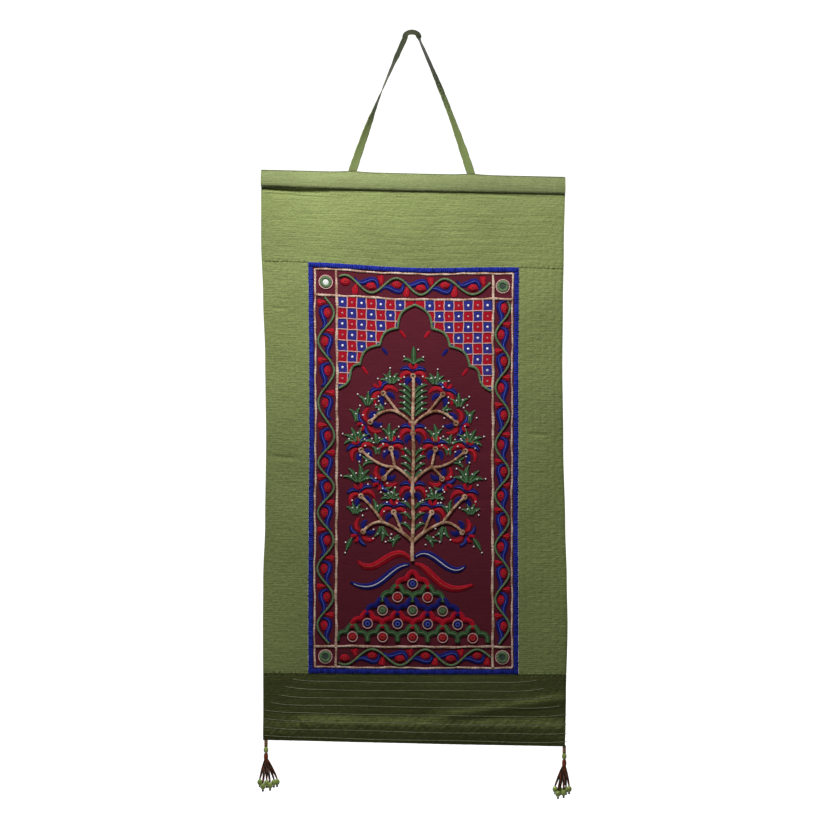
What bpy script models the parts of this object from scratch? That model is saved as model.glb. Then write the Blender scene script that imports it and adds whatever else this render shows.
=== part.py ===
"""Embroidered wall hanging: a quilted green silk surround pieced from four strips round a maroon
embroidered centre, with a rolled heading, a twisted tape hanger and a beaded tassel at each lower corner.

The hanging point, under the bend of the tape hanger, is the origin. X runs to the right, Z up, and the
embroidered face looks along -Y. Sizes are metres.
"""
import math

import bpy
from mathutils import Vector

# Main sizes of the cloth
CLOTH_WIDTH = 0.484
CLOTH_DROP = 0.911
TOP_EDGE_BELOW_HANGING_POINT = 0.2224
HALF_WIDTH = CLOTH_WIDTH / 2.0
SEAM_GAP = 0.0003
HALF_GAP = SEAM_GAP / 2.0
PANEL_THICKNESS = 0.003
PANEL_FRONT_DEPTH = 0.001

# Heading and hem casings
HEADING_DROP = 0.026
HEADING_BULGE = 0.0078
HEADING_EDGE_STAND = 0.0030
HEADING_ROWS = (0.0, 0.0025, 0.0075, 0.0140, 0.0205, 0.0245)
HEADING_COLUMNS = 22
HEADING_UPPER_FULLNESS = 0.55
HEADING_LOWER_FULLNESS = 0.30
HEM_TOP = 0.856
HEM_END = 0.920
HEM_BULGE = 0.0074
HEM_FULLNESS = 0.8

# Where the four strips meet the embroidered centre, on the flat cloth
LEFT_SEAM = -0.1655
RIGHT_SEAM = 0.1705
TOP_SEAM = 0.1450
BOTTOM_SEAM = 0.8000

# Quilting rows, counted outwards from the centre
SIDE_ROW_PITCH = 0.0118
TOP_ROW_PITCH = 0.0114
BOTTOM_ROW_PITCH = 0.0131
TOP_ROWS = 7
QUILT_RISE = 0.0013
EDGE_ROLL = 0.004
EDGE_ROLL_DEPTH = 0.0012
PLAIN_ROW_BELOW_HEADING = 0.0460
CENTRE_COLUMNS = 9
CENTRE_ROWS = 15

# Binding, frame lines and vines worked on the centre
BINDING_WIDTH = 0.0080
BINDING_THICKNESS = 0.0013
LAID_GAP = 0.0004
FRAME_LINE_WIDTH = 0.0040
FRAME_LINE_THICKNESS = 0.0012
FRAME_OUTER_IN = 0.0104
INNER_LEFT = -0.1205
INNER_RIGHT = 0.1294
INNER_TOP = 0.1965
INNER_BOTTOM = 0.7560
CROSSING_REACH = 0.0060
CROSSING_RAMP = 0.0060
VINE_RADIUS = 0.0017
VINE_SWING = 0.0128
VINE_SIDE_CLEARANCE = 0.0010
VINE_END_CLEARANCE = 0.0040
VINE_POINTS_PER_PERIOD = 8

# Mirrors in the four corner squares
MIRROR_RADIUS = 0.0060
MIRROR_THICKNESS = 0.0010
COLLAR_RADIUS = 0.0090
COLLAR_BAND = 0.0025
COLLAR_HEIGHT = 0.0009
COLLAR_SEGMENTS = 16
COLLAR_SIDES = 4
MIRROR_SEGMENTS = 14

# Cusped niche and tree trunk
NICHE_RADIUS = 0.0016
NICHE_FOOT_BELOW_INNER_TOP = 0.1480
NICHE_FOOT_CLEARANCE = 0.0045
CUSP_POINTS = 6
TRUNK_RADIUS = 0.0026
TRUNK_ACROSS = 0.0015
TRUNK_TOP = 0.3215
TRUNK_FOOT = 0.6180
TRUNK_POINTS = 9

# Tape hanger
TAPE_WIDTH = 0.0132
TAPE_THICKNESS = 0.0016
TAPE_EDGE_SHARE = 0.6
TAPE_BEND_POINTS = 8
BEND_TURN = 135.0
LEFT_FOOT_ACROSS = -0.0950
RIGHT_FOOT_ACROSS = 0.0945
LEFT_LEG_TOP = -0.0112
RIGHT_LEG_TOP = 0.0135
LEG_TOP_BELOW = 0.0060
LEG_BOW = 0.0030
LEG_INSET = 0.0005
BEND_FULLNESS = 0.7
FOOT_BELOW_TOP_EDGE = 0.0200
FOOT_LIFT = 0.0015
FOOT_LIFT_REACH = 0.0200
FOOT_CLEARANCE = 0.0005
LEG_POINTS = 14

# Tassels
TASSEL_CORD_RADIUS = 0.0020
NECK_BEAD_RADIUS = 0.0042
NECK_BEAD_HEIGHT = 0.0110
WRAP_RADIUS = 0.0031
WRAP_HEIGHT = 0.0100
STRAND_RADIUS = 0.0009
STRAND_ROOT_IN = 0.0030
STRAND_ROOT_OUT = 0.0020
BEAD_RADIUS = 0.0034
BEAD_HEIGHT = 0.0098
FAN_DEPTH = 0.0046
PIECE_GAP = 0.0004

# Height down the cloth, left edge, left seam, right seam, right edge: the cloth is waisted at mid height
OUTLINE = (
    (0.000, -0.2416, -0.1672, 0.1720, 0.2456),
    (0.110, -0.2416, -0.1668, 0.1718, 0.2432),
    (0.205, -0.2384, -0.1656, 0.1712, 0.2416),
    (0.300, -0.2352, -0.1648, 0.1704, 0.2408),
    (0.430, -0.2336, -0.1645, 0.1704, 0.2424),
    (0.560, -0.2352, -0.1656, 0.1700, 0.2456),
    (0.650, -0.2384, -0.1664, 0.1702, 0.2480),
    (0.720, -0.2388, -0.1664, 0.1704, 0.2492),
    (0.850, -0.2384, -0.1664, 0.1704, 0.2464),
    (0.911, -0.2384, -0.1664, 0.1700, 0.2448),
)
FLAT_COLUMNS = (-HALF_WIDTH, LEFT_SEAM, RIGHT_SEAM, HALF_WIDTH)

# Height down the cloth, fall of a row per metre to the right, sag of its middle
LEVEL = (
    (0.000, -0.0235, 0.0000),
    (0.030, -0.0235, 0.0006),
    (0.145, -0.0260, 0.0045),
    (0.250, -0.0240, 0.0040),
    (0.500, -0.0100, 0.0020),
    (0.800, -0.0040, 0.0005),
    (0.911, -0.0210, 0.0000),
)

# Height of the tape below the hanging point, turn of the tape from facing the front, in degrees
LEFT_LEG_TURN = (
    (0.000, 135.0),
    (0.032, 134.0),
    (0.048, 117.0),
    (0.072, 104.0),
    (0.094, 77.0),
    (0.112, 65.0),
    (0.128, 53.0),
    (0.150, 38.0),
    (0.171, 31.0),
    (0.190, 20.0),
    (0.208, 4.0),
    (0.250, 0.0),
)
RIGHT_LEG_TURN = (
    (0.000, 45.0),
    (0.010, 74.0),
    (0.024, 65.0),
    (0.048, 60.0),
    (0.086, 47.0),
    (0.128, 45.0),
    (0.166, 29.0),
    (0.190, 12.0),
    (0.208, 4.0),
    (0.260, 0.0),
)

# Side, across at the neck, drop of the cord, fan across, lean of the fan, drop of the strands
TASSELS = (
    ("left", -0.2372, 0.0100, 0.0140, 0.0040, 0.0370),
    ("right", 0.2410, 0.0100, 0.0110, -0.0034, 0.0385),
)

# Strands of a tassel: share of the fan across, share of its depth, share of the drop
STRAND_SPREAD = (
    (-1.00, 0.70, 0.84),
    (-0.62, -0.80, 1.00),
    (-0.22, 0.80, 0.88),
    (0.20, -0.80, 0.96),
    (0.60, 0.75, 0.86),
    (1.00, -0.75, 0.80),
)

# Vine, length of one full wave, phase at its start in radians, how far its middle turns slip along the border,
# the middle and the reach of that slip
VINES = (
    ("left", 0.0905, -0.14, 0.0150, 0.429, 0.075),
    ("right", 0.0854, 0.80, 0.0085, 0.458, 0.062),
    ("top", 0.0824, 3.97, -0.0060, 0.052, 0.045),
    ("bottom", 0.0846, 0.87, 0.0035, -0.020, 0.050),
)

# Niche from its foot up: distance from the middle, rise above the foot, bulge of the lobe that starts there
CUSPS = (
    (0.1205, 0.0000, -0.0062),
    (0.1030, 0.0285, 0.0034),
    (0.0882, 0.0400, 0.0093),
    (0.0562, 0.0726, 0.0083),
    (0.0275, 0.1013, 0.0090),
    (0.0000, 0.1395, 0.0000),
)

COLOURS = {
    "heading": (0.300, 0.330, 0.130),
    "green": (0.215, 0.250, 0.105),
    "hem": (0.085, 0.098, 0.040),
    "maroon": (0.090, 0.015, 0.022),
    "blue": (0.010, 0.015, 0.300),
    "peach": (0.720, 0.390, 0.250),
    "vine": (0.100, 0.220, 0.100),
    "mirror": (0.700, 0.720, 0.730),
    "collar": (0.780, 0.620, 0.520),
    "tape": (0.230, 0.250, 0.140),
    "bead": (0.180, 0.360, 0.150),
    "wrap": (0.300, 0.050, 0.040),
    "strand": (0.160, 0.150, 0.060),
}


def clear_scene():
    """Remove whatever the file held before."""
    for thing in list(bpy.data.objects):
        bpy.data.objects.remove(thing)


def read_table(table, height, column):
    """Value of one column at a height, eased between the rows of the table."""
    if height <= table[0][0]:
        return table[0][column]
    for low, high in zip(table, table[1:]):
        if height <= high[0]:
            share = (height - low[0]) / (high[0] - low[0])
            eased = share * share * (3.0 - 2.0 * share)
            return low[column] + (high[column] - low[column]) * eased
    return table[-1][column]


def place(across, down):
    """X and Z of a spot of the flat cloth as it hangs."""
    hung = [read_table(OUTLINE, down, column) for column in range(1, len(FLAT_COLUMNS) + 1)]
    strip = 0 if across < LEFT_SEAM else (2 if across > RIGHT_SEAM else 1)
    share = (across - FLAT_COLUMNS[strip]) / (FLAT_COLUMNS[strip + 1] - FLAT_COLUMNS[strip])
    x = hung[strip] + (hung[strip + 1] - hung[strip]) * share
    fall = read_table(LEVEL, down, 1) * across
    spread = min(1.0, abs(across) / abs(LEFT_SEAM))
    sag = read_table(LEVEL, down, 2) * math.cos(spread * math.pi / 2.0) ** 2
    lift = 0.0
    for foot in (LEFT_FOOT_ACROSS, RIGHT_FOOT_ACROSS):
        nearness = math.exp(-((across - foot) / FOOT_LIFT_REACH) ** 2)
        lift += FOOT_LIFT * nearness * max(0.0, 1.0 - down / HEADING_DROP)
    return x, fall - sag + lift - TOP_EDGE_BELOW_HANGING_POINT - down


def rest_depth(across, down):
    """Depth of the cloth's front: long soft waves of a light cloth against a wall."""
    wave = 0.0013 * math.sin(2.0 * math.pi * (down / 0.560 + across / 0.900) + 0.6)
    wave += 0.0009 * math.sin(2.0 * math.pi * (across / 0.420 - down / 1.300) + 2.1)
    wave += 0.0006 * math.cos(2.0 * math.pi * (down / 0.300 + across / 1.500) + 1.0)
    return PANEL_FRONT_DEPTH + wave


def quilt_row(across, down):
    """Quilting rows counted outwards from the centre, as one nested set of rectangles."""
    aside = max(LEFT_SEAM - across, across - RIGHT_SEAM) / SIDE_ROW_PITCH
    above = (TOP_SEAM - down) / TOP_ROW_PITCH
    below = (down - BOTTOM_SEAM) / BOTTOM_ROW_PITCH
    return max(aside, above, below, 0.0)


def roll_off(across, down):
    """How far the cloth's face turns back at its free edges, from 0 to the full roll."""
    room = min(HALF_WIDTH - abs(across), CLOTH_DROP - down)
    return EDGE_ROLL_DEPTH * max(0.0, 1.0 - room / EDGE_ROLL)


def quilted_front(across, down):
    """Raised face of a quilted panel: low at each stitched row and full between the rows."""
    row = quilt_row(across, down)
    fullness = math.sin(math.pi * row) ** 2
    if (TOP_SEAM - down) / TOP_ROW_PITCH > TOP_ROWS:
        fullness = 1.0
    hem = (down - HEM_TOP) / (HEM_END - HEM_TOP)
    swell = HEM_BULGE * math.sin(math.pi * hem) ** HEM_FULLNESS if 0.0 < hem < 1.0 else 0.0
    return roll_off(across, down) - QUILT_RISE * fullness - swell


def panel_back(across, down):
    """Flat back of a panel, turned forward a little at the free edges."""
    return PANEL_THICKNESS - roll_off(across, down) / 2.0


def heading_front(across, down):
    """Full face of the rolled heading, standing proud of the cloth below it."""
    share = min(1.0, max(0.0, down / HEADING_DROP))
    fullness = HEADING_UPPER_FULLNESS if share < 0.5 else HEADING_LOWER_FULLNESS
    swell = math.sin(math.pi * share) ** fullness
    lower_lip = HEADING_EDGE_STAND * share
    return roll_off(across, down) - (HEADING_BULGE - HEADING_EDGE_STAND) * swell - lower_lip


def flat_front(across, down):
    """Face of the embroidered centre, level with the rest of the cloth."""
    return 0.0


def colour_piece(piece, name, colour):
    """Give a piece its name and its own material, and put it in the part's collection."""
    piece.name = name
    piece.data.name = name
    material = bpy.data.materials.new(name + "_surface")
    material.use_nodes = True
    shader = material.node_tree.nodes["Principled BSDF"]
    shader.inputs["Base Color"].default_value = (*COLOURS[colour], 1.0)
    shader.inputs["Roughness"].default_value = 0.6
    piece.data.materials.clear()
    piece.data.materials.append(material)
    for home in list(piece.users_collection):
        home.objects.unlink(piece)
    bpy.data.collections["wall_hanging"].objects.link(piece)
    return piece


def even_stations(start, end, count):
    """Evenly spaced stations from start to end."""
    return [start + (end - start) * step / count for step in range(count + 1)]


def quilted_stations(start, seam, pitch):
    """Stations at each stitched row and each ridge, from a seam out to a free edge, in rising order."""
    direction = 1.0 if start > seam else -1.0
    reach = abs(start - seam)
    stations = [seam]
    step = 1
    while step * pitch / 2.0 < reach - EDGE_ROLL:
        stations.append(seam + direction * step * pitch / 2.0)
        step += 1
    stations.append(start - direction * EDGE_ROLL)
    stations.append(start)
    return sorted(stations)


def cloth_slab(name, colour, across, down, front, back):
    """Slab of cloth on the hanging surface, given its stations and the depths of its two faces."""
    columns = len(across) - 1
    rows = len(down) - 1
    bpy.ops.mesh.primitive_grid_add(x_subdivisions=columns, y_subdivisions=rows, size=1.0)
    piece = bpy.context.active_object
    thickness = piece.modifiers.new("Cloth thickness", "SOLIDIFY")
    thickness.thickness = 0.5
    thickness.offset = 0.0
    bpy.ops.object.modifier_apply(modifier=thickness.name)
    for vertex in piece.data.vertices:
        aside = across[round((vertex.co.x + 0.5) * columns)]
        below = down[round((0.5 - vertex.co.y) * rows)]
        face = front if vertex.co.z > 0.0 else back
        x, z = place(aside, below)
        vertex.co = (x, rest_depth(aside, below) + face(aside, below), z)
    return colour_piece(piece, name, colour)


def build_heading():
    """Rolled heading along the top edge."""
    inside = even_stations(EDGE_ROLL - HALF_WIDTH, HALF_WIDTH - EDGE_ROLL, HEADING_COLUMNS)
    across = [-HALF_WIDTH] + inside + [HALF_WIDTH]
    down = list(HEADING_ROWS) + [HEADING_DROP - HALF_GAP]
    return cloth_slab("heading", "heading", across, down, heading_front, panel_back)


def build_panels():
    """The four quilted strips of the surround and the embroidered centre between them."""
    left = quilted_stations(-HALF_WIDTH, LEFT_SEAM, SIDE_ROW_PITCH)
    right = quilted_stations(HALF_WIDTH, RIGHT_SEAM, SIDE_ROW_PITCH)
    middle = even_stations(LEFT_SEAM, RIGHT_SEAM, CENTRE_COLUMNS)
    full_width = left + middle[1:-1] + right
    top_rows = sorted(
        [TOP_SEAM - HALF_GAP]
        + [TOP_SEAM - TOP_ROW_PITCH / 2.0 * step for step in range(1, 2 * TOP_ROWS + 1)]
        + [HEADING_DROP + HALF_GAP, PLAIN_ROW_BELOW_HEADING]
    )
    bottom_rows = [BOTTOM_SEAM + HALF_GAP] + quilted_stations(CLOTH_DROP, BOTTOM_SEAM, BOTTOM_ROW_PITCH)[1:]
    side_rows = even_stations(TOP_SEAM + HALF_GAP, BOTTOM_SEAM - HALF_GAP, CENTRE_ROWS)
    left_columns = left[:-1] + [LEFT_SEAM - HALF_GAP]
    right_columns = [RIGHT_SEAM + HALF_GAP] + right[1:]
    middle_columns = [LEFT_SEAM + HALF_GAP] + middle[1:-1] + [RIGHT_SEAM - HALF_GAP]
    cloth_slab("top_panel", "green", full_width, top_rows, quilted_front, panel_back)
    cloth_slab("left_panel", "green", left_columns, side_rows, quilted_front, panel_back)
    cloth_slab("right_panel", "green", right_columns, side_rows, quilted_front, panel_back)
    cloth_slab("bottom_panel", "hem", full_width, bottom_rows, quilted_front, panel_back)
    cloth_slab("centre_panel", "maroon", middle_columns, side_rows, flat_front, panel_back)


def laid_front(thickness, lift):
    """Face of a piece laid on the centre, for a thickness and a lift over crossings."""
    return lambda across, down: -(LAID_GAP + thickness) - lift(across, down)


def laid_back(lift):
    """Underside of a piece laid on the centre."""
    return lambda across, down: -LAID_GAP - lift(across, down)


def no_lift(across, down):
    """A piece that crosses nothing."""
    return 0.0


def build_binding():
    """Blue binding round the centre: the top and bottom lengths run over the ends of the side lengths."""
    reach = BINDING_WIDTH + SEAM_GAP
    rows = even_stations(TOP_SEAM + reach, BOTTOM_SEAM - reach, CENTRE_ROWS)
    columns = even_stations(LEFT_SEAM + SEAM_GAP, RIGHT_SEAM - SEAM_GAP, CENTRE_COLUMNS)
    sides = {
        "binding_left": (LEFT_SEAM + SEAM_GAP, LEFT_SEAM + BINDING_WIDTH),
        "binding_right": (RIGHT_SEAM - BINDING_WIDTH, RIGHT_SEAM - SEAM_GAP),
    }
    ends = {
        "binding_top": (TOP_SEAM + SEAM_GAP, TOP_SEAM + BINDING_WIDTH),
        "binding_bottom": (BOTTOM_SEAM - BINDING_WIDTH, BOTTOM_SEAM - SEAM_GAP),
    }
    front = laid_front(BINDING_THICKNESS, no_lift)
    back = laid_back(no_lift)
    for name, (inner, outer) in sides.items():
        cloth_slab(name, "blue", [inner, outer], rows, front, back)
    for name, (upper, lower) in ends.items():
        cloth_slab(name, "blue", columns, [upper, lower], front, back)


def crossing_stations(start, end, crossings, count):
    """Even stations with extra ones where the line climbs over each crossing."""
    stations = even_stations(start, end, count)
    for crossing in crossings:
        climb = CROSSING_REACH + CROSSING_RAMP
        stations = [spot for spot in stations if abs(spot - crossing) > climb + 0.002 or spot in (start, end)]
        for offset in (-climb, -CROSSING_REACH, CROSSING_REACH, climb):
            if start < crossing + offset < end:
                stations.append(crossing + offset)
    return sorted(stations)


def build_frame_lines():
    """Peach couched lines: an outer frame, and inner lines that run on to it and square off the corners."""
    left = LEFT_SEAM + FRAME_OUTER_IN
    right = RIGHT_SEAM - FRAME_OUTER_IN
    top = TOP_SEAM + FRAME_OUTER_IN
    bottom = BOTTOM_SEAM - FRAME_OUTER_IN
    half = FRAME_LINE_WIDTH / 2.0
    clear = half + SEAM_GAP

    def climb(across, down):
        """Lift of the upright inner lines over the level ones."""
        nearest = min(abs(down - INNER_TOP), abs(down - INNER_BOTTOM))
        share = 1.0 - (nearest - CROSSING_REACH) / CROSSING_RAMP
        return (FRAME_LINE_THICKNESS + LAID_GAP) * min(1.0, max(0.0, share))

    level_rows = even_stations(left - half, right + half, CENTRE_COLUMNS)
    inner_level = even_stations(left + clear, right - clear, CENTRE_COLUMNS)
    outer_upright = even_stations(top + clear, bottom - clear, CENTRE_ROWS)
    inner_upright = crossing_stations(top + clear, bottom - clear, (INNER_TOP, INNER_BOTTOM), CENTRE_ROWS)
    flat = (laid_front(FRAME_LINE_THICKNESS, no_lift), laid_back(no_lift))
    crossing = (laid_front(FRAME_LINE_THICKNESS, climb), laid_back(climb))
    for name, spot in (("frame_outer_top", top), ("frame_outer_bottom", bottom)):
        cloth_slab(name, "peach", level_rows, [spot - half, spot + half], *flat)
    for name, spot in (("frame_inner_top", INNER_TOP), ("frame_inner_bottom", INNER_BOTTOM)):
        cloth_slab(name, "peach", inner_level, [spot - half, spot + half], *flat)
    for name, spot in (("frame_outer_left", left), ("frame_outer_right", right)):
        cloth_slab(name, "peach", [spot - half, spot + half], outer_upright, *flat)
    for name, spot in (("frame_inner_left", INNER_LEFT), ("frame_inner_right", INNER_RIGHT)):
        cloth_slab(name, "peach", [spot - half, spot + half], inner_upright, *crossing)


def cord_piece(name, colour, points, radius):
    """Round cord laid through a row of points."""
    line = bpy.data.curves.new(name, "CURVE")
    line.dimensions = "3D"
    line.bevel_depth = radius
    line.bevel_resolution = 0
    line.use_fill_caps = True
    spline = line.splines.new("POLY")
    spline.points.add(len(points) - 1)
    for target, point in zip(spline.points, points):
        target.co = (*point, 1.0)
    piece = bpy.data.objects.new(name, line)
    bpy.context.scene.collection.objects.link(piece)
    return colour_piece(piece, name, colour)


def laid_point(across, down, radius):
    """Centre of a round cord of a given radius that lies on the embroidered centre."""
    x, z = place(across, down)
    return x, rest_depth(across, down) - LAID_GAP - radius, z


def in_lane(lane, angle):
    """Swing of a vine between the two lines of its border, as a share of the room between them."""
    room = (lane[1] - lane[0] - FRAME_LINE_WIDTH) / 2.0 - VINE_RADIUS - VINE_SIDE_CLEARANCE
    return (lane[0] + lane[1]) / 2.0 + min(room, VINE_SWING) * math.sin(angle)


def build_vines():
    """Green meander vine in each of the four borders."""
    lanes = {
        "left": (LEFT_SEAM + FRAME_OUTER_IN, INNER_LEFT),
        "right": (INNER_RIGHT, RIGHT_SEAM - FRAME_OUTER_IN),
        "top": (TOP_SEAM + FRAME_OUTER_IN, INNER_TOP),
        "bottom": (INNER_BOTTOM, BOTTOM_SEAM - FRAME_OUTER_IN),
    }
    down_run = (INNER_TOP + VINE_END_CLEARANCE, INNER_BOTTOM - VINE_END_CLEARANCE)
    across_run = (INNER_LEFT + VINE_END_CLEARANCE, INNER_RIGHT - VINE_END_CLEARANCE)
    for name, period, phase, slip, middle, reach in VINES:
        upright = name in ("left", "right")
        start, end = down_run if upright else across_run
        steps = int((end - start) / period * VINE_POINTS_PER_PERIOD)
        points = []
        for spot in even_stations(start, end, steps):
            run = spot - start - slip * math.exp(-((spot - middle) / reach) ** 2)
            swing = in_lane(lanes[name], 2.0 * math.pi * run / period + phase)
            across, down = (swing, spot) if upright else (spot, swing)
            points.append(laid_point(across, down, VINE_RADIUS))
        cord_piece("vine_" + name, "vine", points, VINE_RADIUS)


def build_mirrors():
    """Small round mirror with a stitched collar in each corner square."""
    left = (LEFT_SEAM + FRAME_OUTER_IN + INNER_LEFT) / 2.0
    right = (RIGHT_SEAM - FRAME_OUTER_IN + INNER_RIGHT) / 2.0
    top = (TOP_SEAM + FRAME_OUTER_IN + INNER_TOP) / 2.0
    bottom = (BOTTOM_SEAM - FRAME_OUTER_IN + INNER_BOTTOM) / 2.0
    corners = {
        "top_left": (left, top),
        "top_right": (right, top),
        "bottom_left": (left, bottom),
        "bottom_right": (right, bottom),
    }
    for corner, (across, down) in corners.items():
        x, z = place(across, down)
        face = rest_depth(across, down) - LAID_GAP
        bpy.ops.mesh.primitive_cylinder_add(
            vertices=MIRROR_SEGMENTS,
            radius=MIRROR_RADIUS,
            depth=MIRROR_THICKNESS,
            location=(x, face - MIRROR_THICKNESS / 2.0, z),
            rotation=(math.pi / 2.0, 0.0, 0.0),
        )
        colour_piece(bpy.context.active_object, "mirror_" + corner, "mirror")
        bpy.ops.mesh.primitive_torus_add(
            major_segments=COLLAR_SEGMENTS,
            minor_segments=COLLAR_SIDES,
            major_radius=COLLAR_RADIUS,
            minor_radius=COLLAR_BAND,
            location=(x, face - COLLAR_HEIGHT, z),
            rotation=(math.pi / 2.0, 0.0, 0.0),
        )
        collar = bpy.context.active_object
        collar.scale = (1.0, 1.0, COLLAR_HEIGHT / COLLAR_BAND)
        bpy.ops.object.transform_apply(location=False, rotation=False, scale=True)
        colour_piece(collar, "collar_" + corner, "collar")


def niche_half():
    """Lobes of one side of the niche, from its foot up to the crown: distance from the middle, rise."""
    half = []
    for low, high in zip(CUSPS, CUSPS[1:]):
        run_across = high[0] - low[0]
        run_up = high[1] - low[1]
        length = math.hypot(run_across, run_up)
        for step in range(CUSP_POINTS):
            share = step / CUSP_POINTS
            swell = low[2] * math.sin(math.pi * share)
            out = low[0] + run_across * share + swell * run_up / length
            half.append((out, low[1] + run_up * share - swell * run_across / length))
    return half + [(0.0, CUSPS[-1][1])]


def build_niche():
    """Green cord of the cusped niche, stepped up from both sides to a rounded crown."""
    middle = (INNER_LEFT + INNER_RIGHT) / 2.0
    foot = INNER_TOP + NICHE_FOOT_BELOW_INNER_TOP
    widest = (INNER_RIGHT - INNER_LEFT) / 2.0 - NICHE_FOOT_CLEARANCE
    half = [(min(out, widest), up) for out, up in niche_half()]
    points = [laid_point(middle - out, foot - up, NICHE_RADIUS) for out, up in half]
    points += [laid_point(middle + out, foot - up, NICHE_RADIUS) for out, up in reversed(half[:-1])]
    cord_piece("niche_cord", "vine", points, NICHE_RADIUS)


def build_trunk():
    """Straight trunk of the tree under the niche."""
    points = [laid_point(TRUNK_ACROSS, spot, TRUNK_RADIUS)
              for spot in even_stations(TRUNK_TOP, TRUNK_FOOT, TRUNK_POINTS)]
    cord_piece("tree_trunk", "peach", points, TRUNK_RADIUS)


def leg_points(foot_across, top_across, turns):
    """Points and turns of one leg of the hanger, from its sewn foot up to the bend, bowed a little outwards."""
    side = math.copysign(1.0, foot_across)
    points = []
    for down in (FOOT_BELOW_TOP_EDGE, FOOT_BELOW_TOP_EDGE / 2.0, 0.0):
        x, z = place(foot_across, down)
        behind = rest_depth(foot_across, down) + PANEL_THICKNESS + FOOT_CLEARANCE + TAPE_THICKNESS / 2.0
        points.append((Vector((x, behind, z)), 0.0))
    leave = points[-1][0] + Vector((-side * LEG_INSET, 0.0, FOOT_LIFT))
    top = Vector((top_across, 0.0, -LEG_TOP_BELOW))
    for share in even_stations(0.0, 1.0, LEG_POINTS):
        spot = leave.lerp(top, share)
        spot.x += side * LEG_BOW * math.sin(math.pi * share)
        points.append((spot, math.radians(read_table(turns, -spot.z, 1))))
    return points


def hanger_path():
    """Middle line of the tape and its turn at each point: up the left leg, over the bend, down the right."""
    rise = TAPE_WIDTH / 2.0 * math.sin(math.radians(BEND_TURN))
    middle = (LEFT_LEG_TOP + RIGHT_LEG_TOP) / 2.0
    bend = []
    for step in range(1, TAPE_BEND_POINTS):
        angle = math.pi - math.pi * step / TAPE_BEND_POINTS
        across = middle + (RIGHT_LEG_TOP - middle) * math.cos(angle)
        height = (rise + LEG_TOP_BELOW) * math.sin(angle) ** BEND_FULLNESS - LEG_TOP_BELOW
        bend.append((Vector((across, 0.0, height)), math.radians(BEND_TURN)))
    left = leg_points(LEFT_FOOT_ACROSS, LEFT_LEG_TOP, LEFT_LEG_TURN)
    right_leg = leg_points(RIGHT_FOOT_ACROSS, RIGHT_LEG_TOP, RIGHT_LEG_TURN)
    right = [(spot, math.pi - turn) for spot, turn in right_leg]
    return left + bend + right[::-1]


def build_hanger():
    """Tape hanger: both feet sewn behind the heading, twisted legs, and a narrow bend at the hanging point."""
    path = hanger_path()
    spots = [spot for spot, turn in path]
    bpy.ops.mesh.primitive_grid_add(x_subdivisions=2, y_subdivisions=len(path) - 1, size=1.0)
    piece = bpy.context.active_object
    thickness = piece.modifiers.new("Tape thickness", "SOLIDIFY")
    thickness.thickness = 0.5
    thickness.offset = 0.0
    bpy.ops.object.modifier_apply(modifier=thickness.name)
    last = len(path) - 1
    for vertex in piece.data.vertices:
        row = round((vertex.co.y + 0.5) * last)
        along = (spots[min(row + 1, last)] - spots[max(row - 1, 0)]).normalized()
        level = Vector((along.z, 0.0, -along.x)).normalized()
        turn = path[row][1]
        wide = level * math.cos(turn) + Vector((0.0, 1.0, 0.0)) * math.sin(turn)
        through = wide.cross(along).normalized()
        half = TAPE_THICKNESS / 2.0 * (1.0 if abs(vertex.co.x) < 0.25 else TAPE_EDGE_SHARE)
        reach = vertex.co.x * TAPE_WIDTH
        vertex.co = spots[row] + wide * reach + through * (half if vertex.co.z > 0.0 else -half)
    return colour_piece(piece, "hanger_tape", "tape")


def build_bead(name, spot, radius, height):
    """Bead, longer or shorter than it is wide."""
    bpy.ops.mesh.primitive_uv_sphere_add(segments=8, ring_count=5, radius=radius, location=spot)
    bead = bpy.context.active_object
    bead.scale = (1.0, 1.0, height / (2.0 * radius))
    bpy.ops.object.transform_apply(location=False, rotation=False, scale=True)
    return colour_piece(bead, name, "bead")


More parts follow.
